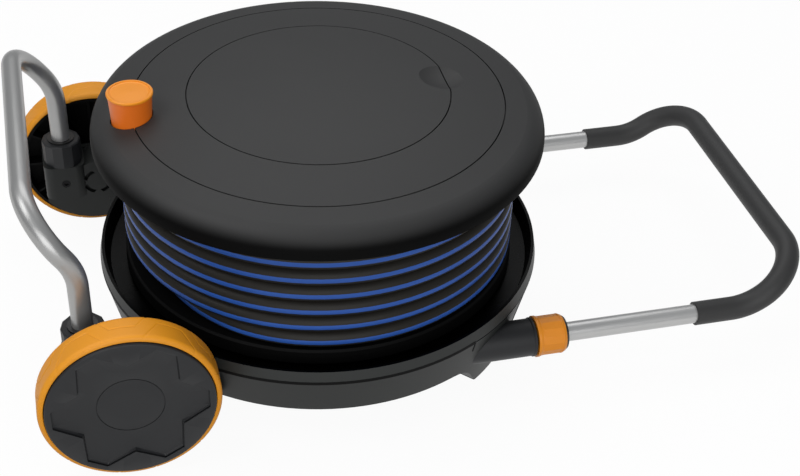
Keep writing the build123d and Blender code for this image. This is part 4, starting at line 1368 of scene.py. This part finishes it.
@dataclass
class Wheel:
    """One road wheel: an embossed tyre over a ribbed rim, closed by a hub cap with a star.

    The tyre's pattern is two rows of trapezoids. Their plateaus and flanks are given as angles
    in degrees, and how far across the tyre they reach as shares of its width. The drops and the
    lip are measured down from the cap's face.
    """

    side: Side
    steps: int = 720
    edge_radius: float = 4.5
    seat_gap: float = 0.2
    seat_edge_radius: float = 0.8
    edge_steps: int = 6
    tread_rows: int = 40
    groove_half_width: float = 1.15
    groove_depth: float = 0.5
    pattern_count: int = 6
    plateau_half_angle: float = 8.0
    outer_flank_angle: float = 11.0
    inner_flank_angle: float = 8.5
    outer_plateau: float = 0.68
    inner_plateau: float = 0.5
    flank_run_out: float = 0.02
    cap_radius: float = 74.8
    cap_edge: float = 1.2
    cap_edge_share: float = 0.35
    cap_sharp: float = 40.0
    tip_drop: float = 3.6
    lip: float = 0.5
    slot_height: float = 1.8
    slot_depth: float = 1.4
    lip_back: float = 0.1
    lip_edge: float = 0.2
    lip_edge_width: float = 0.3
    star_tips: int = 6
    star_tip_radius: float = 69.4
    star_notch_radius: float = 51.2
    star_tip_half_angle: float = 8.2
    flank_draft: float = 1.6
    flank_foot: float = 0.5
    flank_foot_rise: float = 0.2
    ring_radius: float = 29.8
    ring_width: float = 0.7
    ring_depth: float = 0.9
    ring_edge: float = 0.15
    disc_drop: float = 6.5

    def __post_init__(self) -> None:
        """Reads the wheel from the frame."""
        word = self.side.word
        self.tyre = Envelope.of(f"tyre_{word}")
        self.rim = Envelope.of(f"wheel_rim_{word}")
        self.cap = Envelope.of(f"hub_cap_{word}")
        centre = self.tyre.centre
        self.to_frame = across(centre.x, centre.z, self.side)
        self.radius = self.tyre.size.x / 2
        self.inner, self.outer = sorted((abs(self.tyre.low.y), abs(self.tyre.high.y)))
        self.cap_seat, self.star_face = sorted((abs(self.cap.low.y), abs(self.cap.high.y)))

    def groove(self, angle: float, share: float) -> float:
        """Depth of the embossed lines at a place on the tread.

        Args:
            angle: Where it is round the tyre, in degrees.
            share: How far it is from the outer shoulder, as a share of the width.

        Returns:
            The depth, which is 0 beside the lines.
        """
        period = 360.0 / self.pattern_count
        width = self.outer - self.inner
        arc = math.radians(1.0) * self.radius
        nearest = math.inf
        for row in Tread:
            outer = row is Tread.OUTER
            offset = 0.0 if outer else period / 2
            away = abs((angle - offset + period / 2) % period - period / 2)
            plateau = self.outer_plateau if outer else 1 - self.inner_plateau
            from_edge = share if outer else 1 - share
            flank = self.outer_flank_angle if outer else self.inner_flank_angle
            start = Vector((0.0, plateau * width))
            knee = Vector((self.plateau_half_angle * arc, plateau * width))
            foot = Vector(((self.plateau_half_angle + flank) * arc, -self.flank_run_out * width))
            spot = Vector((away * arc, from_edge * width))
            for a, b in ((start, knee), (knee, foot)):
                t = max(0.0, min(1.0, (spot - a).dot(b - a) / (b - a).length_squared))
                nearest = min(nearest, (spot - a - (b - a) * t).length)
        if nearest >= self.groove_half_width:
            return 0.0
        return self.groove_depth * 0.5 * (1 + math.cos(math.pi * nearest / self.groove_half_width))

    def tyre_outline(self) -> list[Flat]:
        """The section of the tyre before it is embossed.

        Returns:
            Its points (radius, distance from the cart's middle), with many across the tread.
        """
        seat = self.rim.size.x / 2 + self.seat_gap
        r = self.radius
        corners = [
            (seat, self.inner, self.seat_edge_radius),
            (r, self.inner, self.edge_radius),
            (r, self.outer, self.edge_radius),
            (seat, self.outer, self.seat_edge_radius),
        ]
        outline = rounded(corners, self.edge_steps)
        split = next(i for i, p in enumerate(outline) if p[0] > r - 1e-6)
        first = outline[split][1]
        last = outline[split + 1][1]
        rows = self.tread_rows
        tread = [(r, first + (last - first) * k / rows) for k in range(1, rows)]
        return outline[: split + 1] + tread + outline[split + 1 :]

    def embossed(self, outline: Sequence[Flat], angle: float) -> list[Flat]:
        """The section of the tyre with its lines sunk in.

        Args:
            outline: The section before that.
            angle: Where it is round the tyre, in radians.

        Returns:
            The section's points.
        """
        width = self.outer - self.inner
        found = []
        for radius, height in outline:
            if radius < self.radius - self.edge_radius:
                found.append((radius, height))
                continue
            share = (self.outer - height) / width
            found.append((radius - self.groove(math.degrees(angle), share), height))
        return found

    def build_tyre(self) -> None:
        """The tyre, with its zigzag band of embossed lines."""
        word = self.side.word
        outline = self.tyre_outline()
        points, faces = turned(
            lambda angle: self.embossed(outline, angle), self.steps, self.to_frame
        )
        piece = solid(f"tyre_tread_{word}", points, faces, TYRE)
        stands_for(piece, f"wheel_{word}", "orange_plastic", f"tyre_{word}")

    def star_radius(self, angle: float) -> float:
        """Where the star's edge lies.

        Args:
            angle: The direction from the axle, in radians.

        Returns:
            The edge's distance from the axle.
        """
        period = math.tau / self.star_tips
        away = abs((angle + period / 2) % period - period / 2)
        tip = math.radians(self.star_tip_half_angle)
        if away <= tip:
            return self.star_tip_radius * math.cos(tip) / math.cos(away)
        a = Vector((math.cos(tip), math.sin(tip))) * self.star_tip_radius
        b = Vector((math.cos(period / 2), math.sin(period / 2))) * self.star_notch_radius
        way = Vector((math.cos(away), math.sin(away)))
        edge = b - a
        return (a.x * edge.y - a.y * edge.x) / (way.x * edge.y - way.y * edge.x)

    def cap_outline(self, angle: float) -> list[Flat]:
        """The section of the hub cap, from the axle out to its edge.

        Args:
            angle: The direction from the axle, in radians.

        Returns:
            The section's points (distance from the axle, distance from the cart's middle).
        """
        star = self.star_radius(angle)
        top = self.star_face
        ring = self.ring_radius
        half = self.ring_width / 2
        floor = top - self.disc_drop
        slope = (self.disc_drop - self.tip_drop) / (self.star_tip_radius - ring)
        slot_top = top - self.lip
        slot_foot = slot_top - self.slot_height
        foot = star - self.flank_draft
        reach = foot - ring
        edge = self.cap_edge_share * self.cap_edge
        disc = [
            (0.0, self.cap_seat),
            (0.0, floor),
            (ring * 0.5, floor),
            (ring - 2 * half, floor),
        ]
        groove = [
            (ring - half, floor - self.ring_edge),
            (ring - half, floor - self.ring_depth),
            (ring + half, floor - self.ring_depth),
            (ring + half, floor - self.ring_edge),
        ]
        star_floor = [
            (ring + 2 * half, floor),
            (ring + reach * 0.5, floor + slope * reach * 0.5),
            (foot - self.flank_foot, floor + slope * (reach - self.flank_foot)),
            (foot, floor + slope * reach + self.flank_foot_rise),
        ]
        slot = [
            (star - self.flank_foot, slot_foot),
            (star + self.slot_depth, slot_foot),
            (star + self.slot_depth, slot_top),
            (star - self.lip_back, slot_top),
        ]
        face = [
            (star, top - self.lip_edge),
            (star + self.lip_edge_width, top),
            (self.cap_radius - self.cap_edge, top),
            (self.cap_radius - edge, top - edge),
            (self.cap_radius, top - self.cap_edge),
            (self.cap_radius, self.cap_seat),
        ]
        return disc + groove + star_floor + slot + face

    def build_cap(self) -> None:
        """The hub cap: a star sunk into its face, deepest at a round centre inside a fine groove."""
        word = self.side.word
        points, faces = turned(self.cap_outline, self.steps, self.to_frame)
        piece = solid(f"hub_star_cap_{word}", points, faces, HUB, sharp=self.cap_sharp)
        stands_for(piece, f"wheel_{word}", "hub_plastic", f"hub_cap_{word}")

    def build(self) -> None:
        """Tyre, hub cap, rim and bush."""
        self.build_tyre()
        self.build_cap()
        dress(f"wheel_rim_{self.side.word}", BLACK_AND_PAINTED_SHADE)
        dress(f"wheel_bush_{self.side.word}", ACETAL)


# ------------------------------------------------------------------ the rest of the cart


@dataclass
class ReelTop:
    """The reel's upper flange with its rim, panel, lid and knob.

    The brow is the part of the knob's side under its cap that keeps the cap's lighter orange; the rest
    of the side has painted shade.
    """

    knob_brow: float = 2.2

    def build(self) -> None:
        """Finishes the mouldings that the hand meets from above."""
        for node in ("flange_panel", "lid", "flange_plate", "storage_cup", "knob_post"):
            dress(node, FLANGE)
        # The rim's roll carries painted shade, near black where it turns under.
        dress("flange_rim", ROLL_PAINTED_SHADE)
        dress("lid_seal", RUBBER)
        # The knob's side gets a deeper orange as painted shade; its brow keeps the cap's orange.
        dress("knob_grip", KNOB_SIDE_PAINTED_SHADE)
        brow = Envelope.of("knob_grip").high.z - self.knob_brow
        dress_where("knob_grip", ORANGE, lambda spot: spot.z > brow)
        dress("knob_cap", ORANGE)
        dress("knob_pin", STEEL)


@dataclass
class ReelCore:
    """What the hose is wound on, and what the reel turns on."""

    def build(self) -> None:
        """Finishes the drum, the lower flange and the water path."""
        dress("drum_core", TRAY)
        # The lower flange gets the black of painted shade, for the shade under the hose.
        for node in ("flange_bottom", "hub_retainer"):
            dress(node, BLACK_AND_PAINTED_SHADE)
        for node in ("swivel_stem", "swivel_rotor", "bearing_washer"):
            dress(node, ACETAL)
        dress("swivel_seals", RUBBER)
        dress("drum_elbow", BRASS)
        dress("feed_pipe", PIPE)
        dress("hose_end", BRASS)


@dataclass
class Base:
    """The tub, its tray, feet, brackets and the fastenings of the hoop.

    The lean is how much the tub's wall comes in for each millimetre down. The panel seam and
    the notch each have an angle in degrees from +X, a width and a run down the wall.
    """

    lean: float = 0.2348
    band: float = 2.9
    proud: float = 0.12
    sunk: float = 0.4
    steps: int = 6
    panel_seam: tuple[float, float, float] = (-37.0, 0.7, 39.0)
    notch: tuple[float, float, float] = (-59.7, 1.6, 11.0)
    joint_drop: float = 12.1
    joint_height: float = 3.2
    joint_steps: int = 360

    def seam(self, name: str, angle: float, width: float, drop: float) -> None:
        """A black strip of painted shade that runs down the tub's wall from its upper edge, where a
        seam lies in shade.

        Args:
            name: The line's name.
            angle: Where it runs, in degrees from +X.
            width: How wide it is.
            drop: How far down it runs.
        """
        top = self.joint_z() - self.joint_height / 2
        widest = self.wall_radius()
        proud, sunk = self.proud, -self.sunk
        sections: list[list[Point]] = []
        for k in range(self.steps + 1):
            height = top - drop * k / self.steps
            wall = widest - self.lean * (top - height)
            section: list[Point] = []
            for out, aside in ((proud, -1), (proud, 1), (sunk, 1), (sunk, -1)):
                turn = math.radians(angle) + aside * width / 2 / wall
                r = wall + out
                section.append((r * math.cos(turn), r * math.sin(turn), height))
            sections.append(section)
        stands_for(strip(name, sections, BLACK_AND_PAINTED_SHADE), "root", "base_plastic")

    def wall_radius(self) -> float:
        """Radius of the tub's wall at its upper edge."""
        return -Envelope.of("base_shell").low.x

    def joint_z(self) -> float:
        """Height of the joint between the tray's band and the tub."""
        return Envelope.of("drip_tray").high.z - self.joint_drop

    def joint_line(self) -> None:
        """A black strip of painted shade along the joint between the tray's band and the tub, open
        where the handle's sockets are.
        """
        outside = self.wall_radius()
        inside = outside - self.sunk
        low = self.joint_z() - self.joint_height / 2
        high = low + self.joint_height
        turn = math.tau - 2 * math.radians(-self.notch[0])
        sections: list[list[Point]] = []
        for k in range(self.joint_steps + 1):
            angle = math.radians(self.notch[0]) - turn * k / self.joint_steps
            section: list[Point] = []
            for r, z in ((outside, low), (outside, high), (inside, high), (inside, low)):
                section.append((r * math.cos(angle), r * math.sin(angle), z))
            sections.append(section)
        stands_for(strip("tray_joint", sections, BLACK_AND_PAINTED_SHADE), "root", "base_plastic")

    def build(self) -> None:
        """Finishes the base's mouldings and its small pieces."""
        self.joint_line()
        self.seam("panel_seam", *self.panel_seam)
        self.seam("parting_notch", *self.notch)
        dress("base_shell", BASE)
        dress("drip_tray", TRAY)
        # The tray's outer band gets the tub's grey a shade lighter, as painted light.
        tray = Envelope.of("drip_tray")
        inside = tray.high.x - self.band
        dress_where("drip_tray", BAND_PAINTED_LIGHT, lambda spot: math.hypot(spot.x, spot.y) > inside)
        dress("foot_pads", RUBBER)
        dress("water_inlet", BRASS)
        for node in ("tray_screws", "bracket_screws", "axle_clips"):
            dress(node, STEEL)
        dress("leg_screws", BLACKENED)
        dress("hoop_ferrules", ACETAL)
        for side in Side:
            dress(f"wheel_bracket_{side.word}", BASE)
            dress(f"hoop_nut_{side.word}", HUB)
            dress(f"axle_pin_{side.word}", STEEL)


@dataclass
class ArmLocks:
    """The sockets, bushes and twist collars that hold the handle's arms."""

    def build(self) -> None:
        """Finishes both locks."""
        dress("handle_plugs", ACETAL)
        for side in Side:
            dress(f"handle_socket_{side.word}", HUB)
            dress(f"arm_bush_{side.word}", ACETAL)
            dress(f"clamp_collet_{side.word}", ACETAL)
            dress(f"lock_collar_{side.word}", ORANGE)


def main() -> None:
    """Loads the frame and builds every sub-assembly in order."""
    logging.basicConfig(level=logging.INFO, format="%(message)s")
    FRAME.update(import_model())
    Studio().build()
    Hose().build()
    ReelTop().build()
    ReelCore().build()
    Base().build()
    ArmLocks().build()
    PullHandle().build()
    StandHoop().build()
    for side in Side:
        Wheel(side).build()
    bpy.context.view_layer.update()


if __name__ == "__main__":
    main()
